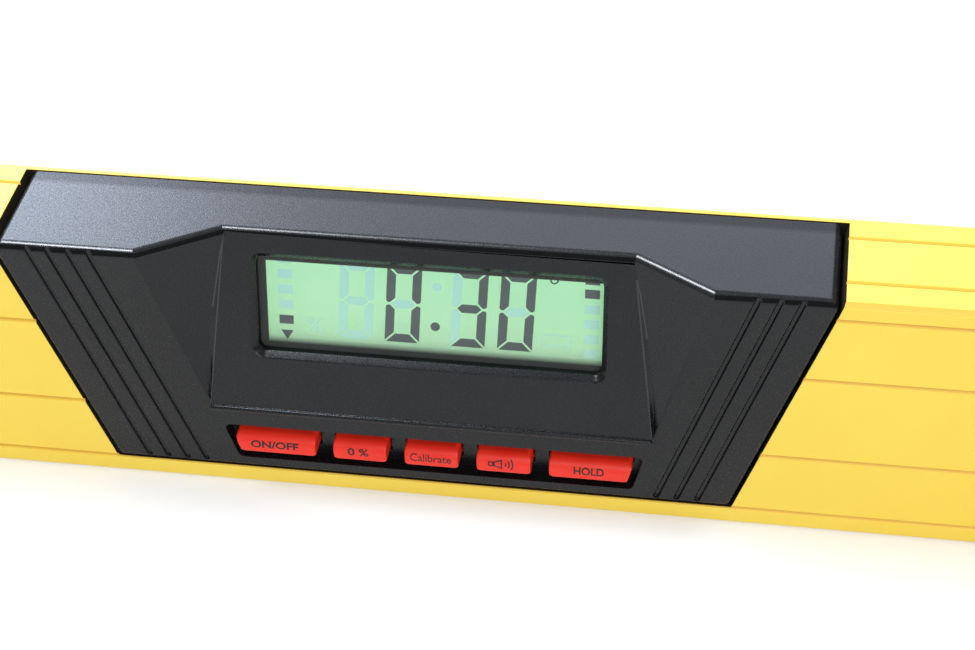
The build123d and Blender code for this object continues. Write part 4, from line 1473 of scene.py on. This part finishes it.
@dataclass
class Studio:
    """Pale floor, soft light and the camera."""

    floor_half: float = 12.0
    floor_drop: float = 0.05 * MM
    floor_tones: tuple[Tone, Tone] = ((219, 219, 218), (216, 216, 215))
    floor_mottle: float = 3.0
    floor_roughness: float = 0.9
    floor_specular: float = 0.1
    floor_glow: float = 0.27
    sky_tone: Tone = (244, 247, 252)
    sky_strength: float = 0.31
    camera_place: tuple[float, float, float] = (0.07015, -0.30374, 0.30900)
    camera_turn: tuple[float, float, float] = (48.6412, 2.3603, 9.0531)
    camera_lens: float = 76.54
    camera_sensor: float = 36.0
    camera_near: float = 0.01
    lamps: tuple[Lamp, ...] = (
        Lamp("window_lamp", (-0.85, 1.15, 0.95), (0.6, 0.5), 15.0, (220, 233, 255)),
        Lamp("back_lamp", (-0.1, 1.35, 1.1), (1.4, 0.8), 11.5, (236, 243, 255)),
        Lamp("high_lamp", (-0.46, 0.05, 1.1), (0.32, 0.32), 9.5, (240, 246, 255)),
        Lamp("front_lamp", (0.6, -1.45, 1.1), (1.5, 0.9), 21.0, (255, 251, 244)),
    )

    def build(self) -> None:
        """Set up floor, light and camera."""
        bpy.context.scene.view_settings.view_transform = "Standard"
        self.lay_floor()
        self.light_sky()
        for lamp in self.lamps:
            self.hang(lamp)
        self.stand_camera()

    def seen(self, tree: NodeTree) -> NodeSocket:
        """Find the rays that show a surface rather than light the object.

        Args:
            tree: Node tree to add to.

        Returns:
            1 for rays from the camera, from gloss and through glass, and 0 for the others.
        """
        path = tree.nodes.new("ShaderNodeLightPath")
        total = path.outputs["Is Camera Ray"]
        for name in ("Is Glossy Ray", "Is Transmission Ray"):
            either = tree.nodes.new("ShaderNodeMath")
            either.operation = "MAXIMUM"
            tree.links.new(total, either.inputs[0])
            tree.links.new(path.outputs[name], either.inputs[1])
            total = either.outputs[0]
        return total

    def lay_floor(self) -> None:
        """Lay a wide pale floor just under the object."""
        recipe = Recipe("pale_floor")
        mottle = recipe.spread(recipe.noise(self.floor_mottle), 0.0, 1.0)
        recipe.link(recipe.blend(mottle, *self.floor_tones), "Base Color")
        recipe.set(
            Roughness=self.floor_roughness, Specular_IOR_Level=self.floor_specular, Emission_Color=WHITE
        )
        glow = recipe.spread(self.seen(recipe.tree), 0.0, self.floor_glow, 0.0, 1.0)
        recipe.link(glow, "Emission Strength")
        mesh = bmesh.new()
        bmesh.ops.create_grid(mesh, x_segments=1, y_segments=1, size=self.floor_half)
        bmesh.ops.translate(mesh, verts=mesh.verts, vec=(0, 0, -self.floor_drop))
        data = bpy.data.meshes.new("floor")
        mesh.to_mesh(data)
        mesh.free()
        data.materials.append(recipe.material)
        floor = bpy.data.objects.new("floor", data)
        bpy.context.scene.collection.objects.link(floor)

    def light_sky(self) -> None:
        """Light the object evenly from all round."""
        world = bpy.data.worlds.new("studio_sky")
        world.use_nodes = True
        bpy.context.scene.world = world
        sky = world.node_tree.nodes["Background"]
        sky.inputs["Color"].default_value = linear(self.sky_tone)
        sky.inputs["Strength"].default_value = self.sky_strength

    def hang(self, lamp: Lamp) -> None:
        """Hang one lamp.

        Args:
            lamp: Its place, size, power and tone.
        """
        data = bpy.data.lights.new(lamp.name, "AREA")
        data.shape = "RECTANGLE"
        data.size, data.size_y = lamp.size
        data.energy = lamp.power
        data.color = linear(lamp.tone)[:3]
        light = bpy.data.objects.new(lamp.name, data)
        light.location = lamp.place
        light.rotation_euler = (Vector(lamp.aim) - Vector(lamp.place)).to_track_quat("-Z", "Y").to_euler()
        bpy.context.scene.collection.objects.link(light)

    def stand_camera(self) -> None:
        """Stand the camera where the photograph was taken from."""
        data = bpy.data.cameras.new("camera")
        data.lens = self.camera_lens
        data.sensor_fit = "HORIZONTAL"
        data.sensor_width = self.camera_sensor
        data.clip_start = self.camera_near
        camera = bpy.data.objects.new("camera", data)
        camera.location = self.camera_place
        camera.rotation_euler = Euler([math.radians(angle) for angle in self.camera_turn])
        bpy.context.scene.collection.objects.link(camera)
        bpy.context.scene.camera = camera


def main() -> None:
    """Build every sub-assembly in order."""
    logging.basicConfig(level=logging.INFO, format="%(message)s")
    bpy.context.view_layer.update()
    inside = (Electronics(), BatteryBay(), Fasteners())
    for assembly in (RailAssembly(), CaseAssembly(), Display(), KeyRow(), *inside, Vials(), Studio()):
        assembly.build()
        log.info("%s built", type(assembly).__name__)


if __name__ == "__main__":
    main()
